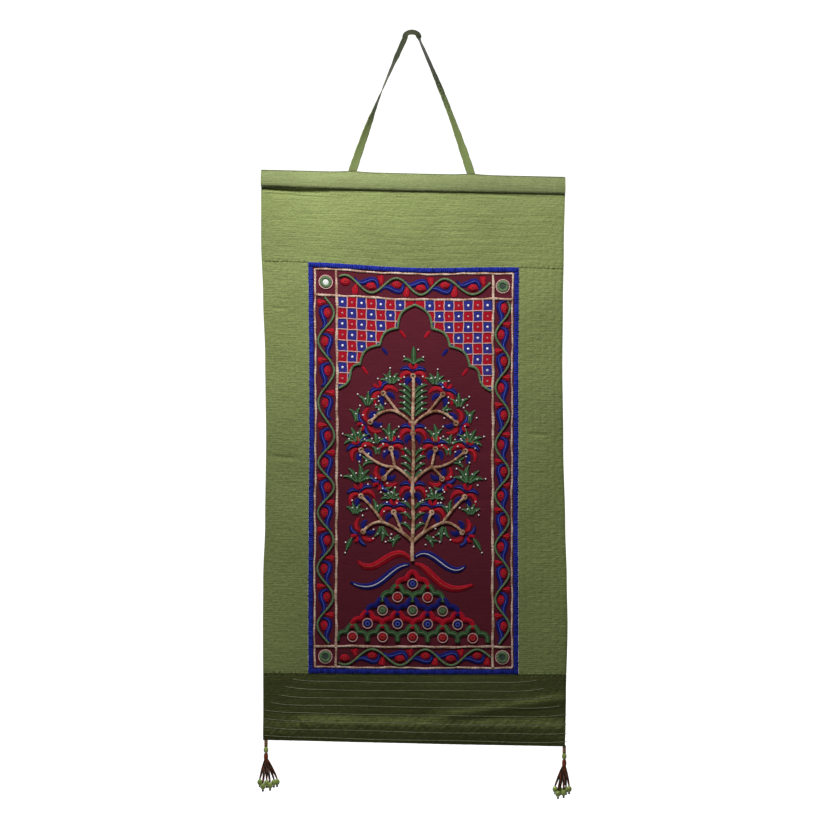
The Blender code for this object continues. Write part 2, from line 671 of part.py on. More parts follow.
def build_tassel(side, neck_across, cord_drop, fan_across, lean, strand_drop):
    """One corner tassel: a short cord, a neck bead, a wrapped head with its strands, and their end beads."""
    neck_x, corner = place(neck_across, CLOTH_DROP)
    depth = rest_depth(neck_across, CLOTH_DROP) + PANEL_THICKNESS / 2.0
    cord_foot = corner - cord_drop
    cord_piece("tassel_cord_" + side, "tape",
               [(neck_x, depth, corner - PIECE_GAP), (neck_x, depth, cord_foot)], TASSEL_CORD_RADIUS)
    bead_middle = cord_foot - PIECE_GAP - NECK_BEAD_HEIGHT / 2.0
    build_bead("neck_bead_" + side, (neck_x, depth, bead_middle), NECK_BEAD_RADIUS, NECK_BEAD_HEIGHT)
    wrap_top = bead_middle - NECK_BEAD_HEIGHT / 2.0 - PIECE_GAP
    bpy.ops.mesh.primitive_cylinder_add(
        vertices=10,
        radius=WRAP_RADIUS,
        depth=WRAP_HEIGHT,
        location=(neck_x, depth, wrap_top - WRAP_HEIGHT / 2.0),
    )
    head = colour_piece(bpy.context.active_object, "tassel_" + side, "wrap")
    root = wrap_top - WRAP_HEIGHT
    for strand, (aside, forward, reach) in enumerate(STRAND_SPREAD):
        level = strand_drop * reach
        angle = math.atan2(forward, aside)
        inside = WRAP_RADIUS - STRAND_RADIUS
        start = (neck_x + inside * math.cos(angle), depth + inside * math.sin(angle))
        end = (neck_x + lean + fan_across * aside, depth + FAN_DEPTH * forward)
        run = [
            (start[0], start[1], root + STRAND_ROOT_IN),
            (start[0], start[1], root - STRAND_ROOT_OUT),
            ((start[0] + 2.0 * end[0]) / 3.0, (start[1] + 2.0 * end[1]) / 3.0, root - level * 0.50),
            (end[0], end[1], root - level),
        ]
        thread = cord_piece("strand", "strand", run, STRAND_RADIUS)
        bpy.context.view_layer.update()
        solid = bpy.data.meshes.new_from_object(
            thread.evaluated_get(bpy.context.evaluated_depsgraph_get()))
        cutter = bpy.data.objects.new("strand_root", solid)
        bpy.data.collections["fused_strands"].objects.link(cutter)
        cutter.hide_render = True
        cutter.display_type = "WIRE"
        bpy.data.objects.remove(thread)
        fuse = head.modifiers.new("Fuse strand " + str(strand + 1), "BOOLEAN")
        fuse.operation = "UNION"
        fuse.solver = "EXACT"
        fuse.object = cutter
        middle = root - level - PIECE_GAP - BEAD_HEIGHT / 2.0
        name = "end_bead_" + side + "_" + str(strand + 1)
        build_bead(name, (end[0], end[1], middle), BEAD_RADIUS, BEAD_HEIGHT)
    return head


def main():
    """Build the hanging from its pieces."""
    clear_scene()
    for name in ("wall_hanging", "fused_strands"):
        collection = bpy.data.collections.new(name)
        bpy.context.scene.collection.children.link(collection)
    build_heading()
    build_panels()
    build_binding()
    build_frame_lines()
    build_vines()
    build_mirrors()
    build_niche()
    build_trunk()
    build_hanger()
    for tassel in TASSELS:
        build_tassel(*tassel)


if __name__ == "__main__":
    main()
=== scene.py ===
# Embroidered wall hanging, dressed on its frame: quilted silk surround, embroidered centre, tape hanger,
# beaded tassels, and a plain studio stage.

import math

import bpy
import numpy as np
from bpy.props import FloatProperty, FloatVectorProperty, IntProperty, PointerProperty
from bpy.types import Operator, Panel, PropertyGroup
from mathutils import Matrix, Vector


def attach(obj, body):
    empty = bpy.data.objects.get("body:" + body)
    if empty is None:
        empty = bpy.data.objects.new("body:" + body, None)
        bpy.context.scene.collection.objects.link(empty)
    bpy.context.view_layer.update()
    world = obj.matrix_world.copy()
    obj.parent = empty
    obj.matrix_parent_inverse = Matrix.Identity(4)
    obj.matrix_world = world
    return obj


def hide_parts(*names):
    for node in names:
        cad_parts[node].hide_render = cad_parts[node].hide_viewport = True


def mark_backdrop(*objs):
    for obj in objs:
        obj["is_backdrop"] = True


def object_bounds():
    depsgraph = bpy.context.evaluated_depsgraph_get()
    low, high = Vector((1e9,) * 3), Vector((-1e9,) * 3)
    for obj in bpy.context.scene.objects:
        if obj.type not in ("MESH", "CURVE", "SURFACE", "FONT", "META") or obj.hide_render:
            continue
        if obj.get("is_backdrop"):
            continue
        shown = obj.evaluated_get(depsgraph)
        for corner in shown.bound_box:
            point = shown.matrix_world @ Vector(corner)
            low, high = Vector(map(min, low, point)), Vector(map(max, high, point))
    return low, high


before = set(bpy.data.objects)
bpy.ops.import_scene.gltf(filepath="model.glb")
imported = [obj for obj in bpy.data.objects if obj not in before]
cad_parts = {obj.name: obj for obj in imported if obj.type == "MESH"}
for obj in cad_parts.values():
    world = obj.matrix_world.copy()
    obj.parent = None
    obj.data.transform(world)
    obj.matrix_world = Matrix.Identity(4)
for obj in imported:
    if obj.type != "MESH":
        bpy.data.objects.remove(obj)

bl_info = {
    "name": "Embroidered Wall Hanging",
    "version": (1, 0, 0),
    "blender": (4, 5, 0),
    "location": "View3D > Sidebar > Hanging",
    "description": "Builds a quilted and embroidered wall hanging round its fitted frame",
    "category": "Object",
}

# Flat cloth, in metres: across from its middle, down from its top edge
CLOTH_WIDTH = 0.484
HALF_WIDTH = CLOTH_WIDTH / 2.0
CLOTH_DROP = 0.911
TOP_EDGE_BELOW_HANGING_POINT = 0.2224
PANEL_THICKNESS = 0.003
PANEL_FRONT_DEPTH = 0.001
HEADING_DROP = 0.026
HEADING_BULGE = 0.0078
HEADING_EDGE_STAND = 0.0030
HEM_TOP = 0.866
HEM_END = 0.914
HEM_BULGE = 0.0062
HEM_SWELL_SPAN = 0.018
HEM_SWELL_SPAN_LEFT = 0.026
HEM_SWELL_FOOT = 0.022
HEM_RIDGE_RISE = 0.0036
HEM_RIDGE_WIDTH = 0.0082
LEFT_SEAM = -0.1655
RIGHT_SEAM = 0.1705
TOP_SEAM = 0.1450
BOTTOM_SEAM = 0.8000
SIDE_ROW_PITCH = 0.0118
TOP_ROW_PITCH = 0.0114
BOTTOM_ROW_PITCH = 0.0131
TOP_ROWS = 7
SIDE_ROWS = 6
BOTTOM_ROWS = 8
EDGE_ROLL = 0.004
EDGE_ROLL_DEPTH = 0.0012
FOOT_LIFT = 0.0015
FOOT_LIFT_REACH = 0.020
SEAM_HALF_GAP = 0.00015
HEADING_STEP = 0.0022
HEADING_STITCH_PITCH = 0.0062
HEADING_STITCH_LENGTH = 0.0034
HEADING_STITCHES_BELOW = 0.0095
STITCH_PITCH = 0.0054
STITCH_LENGTH = 0.0030
STITCH_RADIUS = 0.00028
SEAM_THREAD_RADIUS = 0.00075
HEM_THREAD_RADIUS = 0.00042

# Lines and lanes of the embroidered centre
BINDING_WIDTH = 0.0080
FRAME_OUTER_IN = 0.0104
FRAME_LINE_HALF = 0.0021
INNER_LEFT = -0.1205
INNER_RIGHT = 0.1294
INNER_TOP = 0.1965
INNER_BOTTOM = 0.7560
VINE_END_CLEARANCE = 0.0040
VINE_RADIUS = 0.0017
VINE_SWING = 0.0128
CENTRE_STEP = 0.0030
MIRROR_RADIUS = 0.0058
MIRROR_BAND_RADIUS = 0.0071
COLLAR_RADIUS = 0.0106
NICHE_CORD_RADIUS = 0.0020
CHECK_ACROSS = 0.0154
CHECK_DOWN = 0.0174
CHECK_MARGIN = 0.0012
CHECK_STEP = 0.0011
MILLIMETRE = 0.001
NICHE_FOOT = INNER_TOP + 0.1480
MIDDLE = (INNER_LEFT + INNER_RIGHT) / 2.0
TREE_ACROSS = 0.0015
TRUNK_TOP = 0.3210
TRUNK_FOOT = 0.6180

# Hanger and tassels
TAPE_WIDTH = 0.0132
TAPE_THICKNESS = 0.0016
LEFT_FOOT_ACROSS = -0.0950
RIGHT_FOOT_ACROSS = 0.0945
LEFT_LEG_TOP = -0.0112
RIGHT_LEG_TOP = 0.0108
LEG_TOP_BELOW = 0.0048
LEG_BOW = 0.0038
LEG_INSET = 0.0005
BEND_FULLNESS = 0.7
BEND_TURN = 135.0

# Height down the cloth, left edge, left seam, right seam, right edge
OUTLINE = (
    (0.000, -0.2416, -0.1672, 0.1720, 0.2456),
    (0.110, -0.2416, -0.1668, 0.1718, 0.2432),
    (0.205, -0.2384, -0.1656, 0.1712, 0.2416),
    (0.300, -0.2352, -0.1648, 0.1704, 0.2408),
    (0.430, -0.2336, -0.1645, 0.1704, 0.2424),
    (0.560, -0.2352, -0.1656, 0.1700, 0.2456),
    (0.650, -0.2384, -0.1664, 0.1702, 0.2480),
    (0.720, -0.2388, -0.1664, 0.1704, 0.2492),
    (0.850, -0.2384, -0.1664, 0.1704, 0.2464),
    (0.911, -0.2384, -0.1664, 0.1700, 0.2448),
)

# Height down the cloth, fall of a row per metre to the right, sag of its middle
LEVEL = (
    (0.000, -0.0235, 0.0000),
    (0.030, -0.0235, 0.0006),
    (0.145, -0.0260, 0.0045),
    (0.250, -0.0240, 0.0040),
    (0.500, -0.0100, 0.0020),
    (0.800, -0.0040, 0.0005),
    (0.911, -0.0210, 0.0000),
)

# Creases of the hung cloth: across, down, half length, half width, rise towards the front
CREASES = (
    (-0.214, 0.2205, 0.020, 0.0026, -0.0012),
    (-0.208, 0.4560, 0.030, 0.0030, -0.0016),
    (0.202, 0.4145, 0.020, 0.0028, -0.0012),
    (0.000, 0.4440, 0.160, 0.0050, -0.0011),
    (0.010, 0.5215, 0.150, 0.0060, -0.0012),
    (0.000, 0.7000, 0.150, 0.0080, -0.0006),
    (-0.200, 0.0302, 0.075, 0.0036, -0.0034),
    (-0.190, 0.0352, 0.070, 0.0018, 0.0007),
    (-0.185, 0.0388, 0.066, 0.0016, -0.0010),
    (0.170, 0.0325, 0.080, 0.0020, -0.0008),
)

# Niche from its foot up: distance from the middle, rise above the foot, bulge of the lobe that starts there
CUSPS = (
    (0.1225, 0.0000, -0.0062),
    (0.1030, 0.0285, 0.0034),
    (0.0882, 0.0400, 0.0093),
    (0.0562, 0.0726, 0.0083),
    (0.0275, 0.1013, 0.0090),
    (0.0000, 0.1395, 0.0000),
)

# Height of the tape below the hanging point, turn of the tape from facing the front, in degrees
LEFT_LEG_TURN = (
    (0.000, 135.0), (0.032, 131.0), (0.048, 117.0), (0.076, 104.0), (0.104, 80.0), (0.120, 67.0),
    (0.136, 52.0), (0.150, 40.0), (0.171, 31.0), (0.190, 20.0), (0.208, 4.0), (0.250, 0.0),
)
RIGHT_LEG_TURN = (
    (0.000, 45.0), (0.010, 74.0), (0.024, 65.0), (0.048, 60.0), (0.086, 47.0), (0.128, 45.0),
    (0.166, 29.0), (0.190, 12.0), (0.208, 4.0), (0.260, 0.0),
)

# Tiers of the tree: root down the cloth
TIERS = (0.5868, 0.4908, 0.3980)

# Branches on each side: tier, reach and rise of the fork that it leaves, reach and rise of its tip, arch of
# its middle, lean of its flower in degrees
BRANCHES = (
    (0, 0.0480, 0.0307, 0.0830, 0.0715, 0.0030, 16.0),
    (0, 0.0170, 0.0147, 0.0300, 0.0470, 0.0000, 2.0),
    (0, 0.0480, 0.0307, 0.0800, 0.0150, 0.0060, 128.0),
    (1, 0.0296, 0.0240, 0.0832, 0.0490, -0.0080, 28.0),
    (1, 0.0296, 0.0240, 0.0355, 0.0527, 0.0000, 0.0),
    (1, 0.0296, 0.0240, 0.0470, 0.0050, 0.0020, 143.0),
    (2, 0.0225, 0.0175, 0.0470, 0.0485, 0.0000, 31.0),
    (2, 0.0225, 0.0175, 0.0690, 0.0018, 0.0120, 116.0),
)

# Sprigs of leaves on each side: tier, reach, rise, lean of the sprig in degrees, spread in degrees, leaves,
# length of a leaf
SPRIGS = (
    (0, 0.0930, 0.0420, -4.0, 52.0, 4, 0.0195),
    (0, 0.0600, 0.0440, -22.0, 22.0, 2, 0.0270),
    (0, 0.0350, 0.0680, 0.0, 90.0, 6, 0.0160),
    (0, 0.0500, 0.0250, 186.0, 30.0, 3, 0.0240),
    (0, 0.0200, 0.0100, 128.0, 12.0, 2, 0.0265),
    (0, 0.0965, 0.0060, 154.0, 1.0, 1, 0.0235),
    (1, 0.0880, -0.0030, 2.0, 70.0, 5, 0.0290),
    (1, 0.0640, 0.0330, 92.0, 20.0, 2, 0.0220),
    (1, 0.0570, 0.0420, 0.0, 22.0, 2, 0.0190),
    (1, 0.0310, -0.0080, 150.0, 40.0, 2, 0.0150),
    (2, 0.0890, -0.0300, 4.0, 98.0, 6, 0.0240),
    (2, 0.0900, 0.0010, 6.0, 16.0, 2, 0.0280),
    (2, 0.0735, 0.0270, 0.0, 40.0, 3, 0.0230),
    (2, 0.0345, 0.0640, 6.0, 62.0, 5, 0.0215),
    (2, 0.0360, -0.0290, -2.0, 26.0, 3, 0.0290),
    (2, 0.0600, -0.0330, 8.0, 60.0, 3, 0.0165),
    (2, 0.0460, 0.0210, 75.0, 36.0, 3, 0.0150),
)

# Pairs of leaves up the trunk: tier, height of the lowest pair over the root, pitch, pairs, length of a leaf
TRUNK_LEAVES = (
    (2, 0.0130, 0.0098, 5, 0.0225),
    (1, 0.0070, 0.0118, 4, 0.0190),
    (0, 0.0190, 0.0170, 3, 0.0190),
)

# Petals of a flower about the end of its branch: colour, then the four points of one petal's middle line
# (aside, above) and its half width, in millimetres. Each petal has a twin on the other side.
PETALS = (
    ("blue", (3.6, -2.0), (5.0, -6.0), (12.5, -6.0), (10.0, -17.0), 4.9),
    ("red", (2.0, 3.0), (11.0, 8.0), (19.5, 3.0), (20.5, -9.5), 4.2),
    ("orange", (5.0, 5.0), (11.0, 7.4), (17.0, 3.0), (18.6, -4.5), 1.0),
    ("blue", (1.0, 8.0), (7.0, 16.0), (14.0, 14.0), (21.0, 10.0), 3.5),
    ("light_blue", (4.0, 9.8), (8.0, 14.0), (14.0, 13.0), (18.6, 10.2), 1.0),
    ("red", (0.5, 12.0), (4.5, 14.0), (6.0, 18.5), (3.5, 21.0), 3.4),
)

# Ribbons from the foot of the trunk: colour, then the four points of the middle line (aside, below the foot),
# in millimetres
RIBBONS = (
    ("red", (-1.6, -1.9), (-32.0, -36.8), (-57.6, 35.2), (-87.2, 0.8)),
    ("blue", (3.5, -4.5), (32.0, -35.2), (57.6, 36.8), (86.0, 7.5)),
    ("blue", (-3.2, 6.1), (-38.4, 4.8), (-48.0, 60.8), (-98.0, 35.5)),
    ("red", (4.8, 4.8), (35.2, 8.0), (41.6, 64.0), (98.0, 38.1)),
)

# Rows of the mound from the foot up: scales in the row, colour of the outline, colour of the rosettes
MOUND = (
    (5, "green", "red"),
    (4, "red", "blue"),
    (3, "blue", "green"),
    (2, "green", "red"),
    (1, "red", "blue"),
)
MOUND_FOOT_ROW = 0.7405
MOUND_ACROSS = 0.0480
MOUND_UP = 0.0215

# Side, across at the neck, drop of the cord, fan across, lean of the fan, drop of the strands
TASSELS = (
    ("left", -0.2372, 0.0100, 0.0140, 0.0040, 0.0370),
    ("right", 0.2410, 0.0100, 0.0110, -0.0034, 0.0385),
)
NECK_BEAD = (0.0040, 0.0055)
WRAP_HEIGHT = 0.0100
END_BEAD = (0.0044, 0.0052)
FAN_DEPTH = 0.0046
PIECE_GAP = 0.0004
CORD_PLY_RADIUS = 0.0019
CORD_TWIST = 0.0012
WRAP_TURNS = 11.0
WRAP_THREAD_RADIUS = 0.00068
STRAND_RADIUS = 0.00062
BEAD_TIP_RADIUS = 0.0020

# Strands of a tassel: share of the fan across, share of its depth, share of the drop
STRAND_SPREAD = (
    (-1.00, 0.70, 0.84),
    (-0.62, -0.80, 1.00),
    (-0.22, 0.80, 0.88),
    (0.20, -0.80, 0.96),
    (0.60, 0.75, 0.86),
    (1.00, -0.75, 0.80),
)

# Camera: straight on, at the height of the middle of the hanging
FRAME_SIDE = 1.3248
FRAME_CENTRE = (0.0032, -0.6064)
CAMERA_BACK = 3.4
SENSOR = 36.0

# Studio: side of its planes, floor, backdrop, light of the surroundings
STUDIO_SIZE = 18.0
FLOOR_SPOT = (0.0, 0.5, -2.40)
BACKDROP_SPOT = (0.0, 5.0, 0.0)
WORLD_STRENGTH = 0.03

# Lamps: name, place, aim, side, power
LAMPS = (
    ("key_lamp", (-0.24, -0.85, 0.50), (-0.24, 0.0, 0.20), 0.42, 26.0),
    ("fill_lamp", (0.8, -3.4, -0.1), (0.0, 0.0, -0.6), 1.4, 0.9),
)

# Surfaces: scale of the silk's slubs and of its crushed pile, finish of every embroidery thread
SLUB_SCALE = (22, 620, 1)
CRUSH_SCALE = (260, 420, 1)
THREAD_ROUGHNESS = 0.42
THREAD_SHEEN = 0.04


def column(table, heights, index):
    """Value of one column of a table at an array of heights, eased by 3s^2 - 2s^3 between its rows."""
    rows = np.array(table)
    heights = np.asarray(heights, dtype=float)
    row = np.clip(np.searchsorted(rows[:, 0], heights, side="right") - 1, 0, len(rows) - 2)
    low, high = rows[row], rows[row + 1]
    share = np.clip((heights - low[..., 0]) / (high[..., 0] - low[..., 0]), 0.0, 1.0)
    return low[..., index] + (high[..., index] - low[..., index]) * share**2 * (3.0 - 2.0 * share)


def hang(across, down):
    """X and Z of spots of the flat cloth as it hangs: shares of each strip's hung width, with every row
    falling to the right and sagging by a squared cosine in its middle."""
    across, down = np.broadcast_arrays(np.asarray(across, float), np.asarray(down, float))
    edges = [column(OUTLINE, down, index) for index in (1, 2, 3, 4)]
    flat = (-HALF_WIDTH, LEFT_SEAM, RIGHT_SEAM, HALF_WIDTH)
    parts = []
    for strip in range(3):
        share = (across - flat[strip]) / (flat[strip + 1] - flat[strip])
        parts.append(edges[strip] + (edges[strip + 1] - edges[strip]) * share)
    x = np.select([across < LEFT_SEAM, across > RIGHT_SEAM], [parts[0], parts[2]], parts[1])
    fall = column(LEVEL, down, 1) * across
    spread = np.minimum(1.0, np.abs(across) / abs(LEFT_SEAM))
    sag = column(LEVEL, down, 2) * np.cos(spread * np.pi / 2.0) ** 2
    lift = 0.0
    for foot in (LEFT_FOOT_ACROSS, RIGHT_FOOT_ACROSS):
        nearness = np.exp(-((across - foot) / FOOT_LIFT_REACH) ** 2)
        lift = lift + FOOT_LIFT * nearness * np.maximum(0.0, 1.0 - down / HEADING_DROP)
    return x, fall - sag + lift - TOP_EDGE_BELOW_HANGING_POINT - down


def rest_depth(across, down):
    """Depth of the cloth's front: three long sine waves of a light cloth against a wall, plus its creases."""
    wave = 0.0013 * np.sin(2.0 * np.pi * (down / 0.560 + across / 0.900) + 0.6)
    wave = wave + 0.0009 * np.sin(2.0 * np.pi * (across / 0.420 - down / 1.300) + 2.1)
    wave = wave + 0.0006 * np.cos(2.0 * np.pi * (down / 0.300 + across / 1.500) + 1.0)
    for middle, level, reach, width, rise in CREASES:
        along = np.clip(1.0 - ((across - middle) / reach) ** 2, 0.0, 1.0)
        bow = level + 0.0020 * np.sin((across - middle) * 30.0)
        wave = wave - rise * along * np.exp(-(((down - bow) / width) ** 2))
    return PANEL_FRONT_DEPTH + wave


def row_wobble(along, number):
    """Hand-sewn waver of a quilting row, as a share of the row pitch: two sines, unlike in each row."""
    return 0.10 * np.sin(along * 47.0 + number * 2.1) + 0.06 * np.sin(along * 121.0 - number * 1.3)


def quilting(across, down):
    """Fullness of the quilted cloth between its rows, 0 at a stitch line and 1 midway: an absolute sine of
    the row count, puckered along the row by two short sines. Rows are nested rectangles."""
    aside = np.maximum(LEFT_SEAM - across, across - RIGHT_SEAM) / SIDE_ROW_PITCH
    above = (TOP_SEAM - down) / TOP_ROW_PITCH
    below = (down - BOTTOM_SEAM) / BOTTOM_ROW_PITCH
    zones = np.stack([aside, above, below])
    row = np.maximum(zones.max(axis=0), 0.0)
    along = np.where(zones.argmax(axis=0) == 0, down, across)
    row = row + row_wobble(along, np.round(row)) * np.minimum(1.0, row)
    number = np.floor(row)
    full = np.abs(np.sin(np.pi * row)) ** 0.5
    pucker = 0.20 * np.sin(2.0 * np.pi * along / 0.0087 + 2.4 * number)
    pucker = pucker + 0.14 * np.sin(2.0 * np.pi * along / 0.0051 - 1.7 * number)
    unquilted = np.clip(above - TOP_ROWS, 0.0, 1.0)
    full = full * (1.0 - unquilted) + unquilted
    return np.clip(full * (1.0 + pucker * (1.0 - unquilted)), 0.0, 1.4)


def roll_off(across, down):
    """How far the cloth's face turns back at its free edges."""
    room = np.minimum(HALF_WIDTH - np.abs(across), CLOTH_DROP - down)
    return EDGE_ROLL_DEPTH * np.clip(1.0 - room / EDGE_ROLL, 0.0, 1.0) ** 2


def crinkle(across, down):
    """Fine crumple of light silk: the product of two crossed sines at three sizes, each bent by the next."""
    bend = 0.9 * np.sin(across * 61.0 + down * 37.0)
    coarse = np.sin(across * 330.0 + 2.0 * bend) * np.sin(down * 290.0 + 1.7 * np.sin(across * 83.0))
    middle = np.sin(across * 610.0 + down * 170.0 + bend) * np.sin(down * 540.0 - across * 90.0)
    fine = np.sin(across * 980.0 - down * 410.0 + 3.0 * bend) * np.sin(down * 930.0 + across * 230.0)
    return 0.5 * coarse + 0.35 * middle + 0.25 * fine


def strip_rise(across, down):
    """Fullness of the quilting in each strip: plainest in the top strip and the hem."""
    look = bpy.context.scene.wall_hanging
    above = np.clip((TOP_SEAM - down) / 0.010, 0.0, 1.0)
    below = np.clip((down - BOTTOM_SEAM) / 0.004, 0.0, 1.0)
    right = np.clip((across + 0.10) / 0.12, 0.0, 1.0)
    share = 0.42 * (1.0 - above) * (1.0 - below) + above * (0.12 + 0.32 * right) + 0.22 * below
    return look.quilt_rise * share


def panel_front(across, down):
    """Depth of a quilted panel's face: quilting, an eased swell over the hem casing with a slanting ridge at
    its right, puckers along the seams, the crinkle of the silk, and rolled free edges."""
    span = HEM_SWELL_SPAN + HEM_SWELL_SPAN_LEFT * np.clip(-8.75 - across * 50.0, 0.0, 1.0)
    hem = np.clip((down - HEM_TOP) / span, 0.0, 1.0)
    foot = np.clip((HEM_END - down) / HEM_SWELL_FOOT, 0.0, 1.0)
    swell = HEM_BULGE * hem**2 * (3.0 - 2.0 * hem) * foot * (2.0 - foot)
    aslant = down - 0.865 + 0.157 * (across - 0.072)
    ridge = HEM_RIDGE_RISE * np.exp(-((aslant / HEM_RIDGE_WIDTH) ** 2))
    swell = swell + ridge * np.clip((across - 0.02) / 0.05, 0.0, 1.0)
    outside = np.maximum(LEFT_SEAM - across, across - RIGHT_SEAM) > 0.0
    seam = np.minimum(np.abs(down - TOP_SEAM), np.abs(down - BOTTOM_SEAM))
    gathered = np.maximum(0.0, np.sin(across * 840.0 + 2.0 * np.sin(across * 130.0)))
    pucker = 0.0012 * gathered * outside * np.exp(-((seam / 0.0034) ** 2))
    slack = 0.0004 * np.sin(across * 38.0 + 9.0 * down) * np.clip((down - BOTTOM_SEAM) / 0.03, 0.0, 1.0)
    mottle = 0.00040 * crinkle(across, down) * (1.0 + 1.5 * hem)
    rise = strip_rise(across, down) * quilting(across, down)
    return rest_depth(across, down) + roll_off(across, down) - rise - swell + slack + pucker + mottle


def panel_back(across, down):
    """Depth of a panel's back."""
    return rest_depth(across, down) + PANEL_THICKNESS - roll_off(across, down) / 2.0


def heading_front(across, down):
    """Depth of the rolled heading's face: a rounded swell with a lower lip, gathered by its stitches."""
    share = np.clip(down / HEADING_DROP, 0.0, 1.0)
    swell = np.where(share < 0.5, np.sin(np.pi * share) ** 0.55, np.sin(np.pi * share) ** 0.30)
    gather = 1.0 + 0.035 * np.sin(across * 310.0) + 0.03 * np.sin(across * 173.0 + 1.0)
    stand = HEADING_EDGE_STAND + 0.0016 * np.clip((-0.08 - across) / 0.06, 0.0, 1.0)
    bulge = (HEADING_BULGE - HEADING_EDGE_STAND) * swell * gather + stand * share
    mottle = 0.00020 * crinkle(across * 0.7, down * 0.7)
    return rest_depth(across, down) + roll_off(across, down) - bulge + mottle


def centre_front(across, down):
    """Depth of the embroidered centre's face: the cloth's own waves and a faint drag between motifs."""
    drag = 0.00016 * np.sin(across * 150.0 + 3.0 * np.sin(down * 40.0)) * np.sin(down * 130.0)
    return rest_depth(across, down) + drag


def make_mesh(name, points, faces, uv, tone=None):
    """Object made of an array of points and of arrays of quads or triangles, smooth, with a cloth UV map."""
    mesh = bpy.data.meshes.new(name)
    faces = [np.asarray(block, dtype=np.int32) for block in faces if len(block)]
    corners = np.concatenate([block.ravel() for block in faces])
    counts = np.concatenate([np.full(len(block), block.shape[1], dtype=np.int32) for block in faces])
    starts = np.concatenate([[0], np.cumsum(counts)[:-1]]).astype(np.int32)
    mesh.vertices.add(len(points))
    mesh.vertices.foreach_set("co", np.ascontiguousarray(points, dtype=np.float32).ravel())
    mesh.loops.add(len(corners))
    mesh.loops.foreach_set("vertex_index", corners)
    mesh.polygons.add(len(counts))
    mesh.polygons.foreach_set("loop_start", starts)
    mesh.polygons.foreach_set("loop_total", counts)
    mesh.polygons.foreach_set("use_smooth", np.ones(len(counts), dtype=bool))
    mesh.update(calc_edges=True)
    layer = mesh.uv_layers.new(name="cloth")
    layer.data.foreach_set("uv", np.ascontiguousarray(uv[corners], dtype=np.float32).ravel())
    if tone is not None:
        values = mesh.attributes.new("tone", "FLOAT", "POINT")
        values.data.foreach_set("value", np.ascontiguousarray(tone, dtype=np.float32).ravel())
    mesh.validate()
    piece = bpy.data.objects.new(name, mesh)
    bpy.context.scene.collection.objects.link(piece)
    return piece


def fit(piece, key, slot, *stands_for):
    """Give a piece its material, put it on the frame, and let it stand for plain nodes; slot is unused."""
    piece.data.materials.append(shared_material(key))
    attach(piece, "root")
    if stands_for:
        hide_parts(*stands_for)
    return piece


def grid_quads(rows, columns, first=0):
    """Quads of a grid of points, facing the front when columns run right and rows run down."""
    corner = first + (np.arange(rows - 1)[:, None] * columns + np.arange(columns - 1)[None, :]).ravel()
    return np.stack([corner, corner + columns, corner + columns + 1, corner + 1], axis=1)


def rim_faces(fine, coarse, picks):
    """Triangles between a fine row of points and a coarse one, which sits under the picked fine ones."""
    segment = np.arange(len(fine) - 1)
    under = np.searchsorted(picks, segment, side="right") - 1
    first = np.stack([fine[segment], coarse[under], fine[segment + 1]], axis=1)
    steps = np.arange(len(picks) - 1)
    second = np.stack([fine[picks[steps + 1]], coarse[steps], coarse[steps + 1]], axis=1)
    return np.concatenate([first, second])


def closed_slab(name, across, down, front, back, every=8):
    """Closed sheet of cloth: a fine face, a coarser back, and rims that join them."""
    columns, rows = len(across), len(down)
    pick_columns = np.unique(np.r_[np.arange(0, columns, every), columns - 1])
    pick_rows = np.unique(np.r_[np.arange(0, rows, every), rows - 1])
    aside, below = np.meshgrid(across, down)
    x, z = hang(aside, below)
    face = np.stack([x, front(aside, below), z], axis=-1)
    back_aside, back_below = np.meshgrid(across[pick_columns], down[pick_rows])
    x, z = hang(back_aside, back_below)
    rear = np.stack([x, back(back_aside, back_below), z], axis=-1)
    fine = np.arange(rows * columns).reshape(rows, columns)
    coarse = fine.size + np.arange(rear.shape[0] * rear.shape[1]).reshape(rear.shape[:2])
    rims = [
        rim_faces(fine[0], coarse[0], pick_columns),
        rim_faces(fine[-1], coarse[-1], pick_columns)[:, ::-1],
        rim_faces(fine[:, 0], coarse[:, 0], pick_rows)[:, ::-1],
        rim_faces(fine[:, -1], coarse[:, -1], pick_rows),
    ]
    points = np.concatenate([face.reshape(-1, 3), rear.reshape(-1, 3)])
    uv = np.concatenate([
        np.stack([aside, -below], axis=-1).reshape(-1, 2),
        np.stack([back_aside, -back_below], axis=-1).reshape(-1, 2),
    ])
    quads = [grid_quads(rows, columns), grid_quads(*rear.shape[:2], first=fine.size)[:, ::-1]]
    return make_mesh(name, points, quads + rims, uv)


def curve_points(curves, count):
    """Points and directions of cubic curves of four points each, at even steps of the parameter."""
    s = np.linspace(0.0, 1.0, count)
    basis = np.stack([(1 - s) ** 3, 3 * s * (1 - s) ** 2, 3 * s**2 * (1 - s), s**3], axis=1)
    slope = np.stack([-3 * (1 - s) ** 2, 3 * (1 - s) * (1 - 3 * s), 3 * s * (2 - 3 * s), 3 * s**2], axis=1)
    line = np.einsum("mk,nkd->nmd", basis, curves)
    way = np.einsum("mk,nkd->nmd", slope, curves)
    return s, line, way / np.maximum(np.linalg.norm(way, axis=-1, keepdims=True), 1e-9)


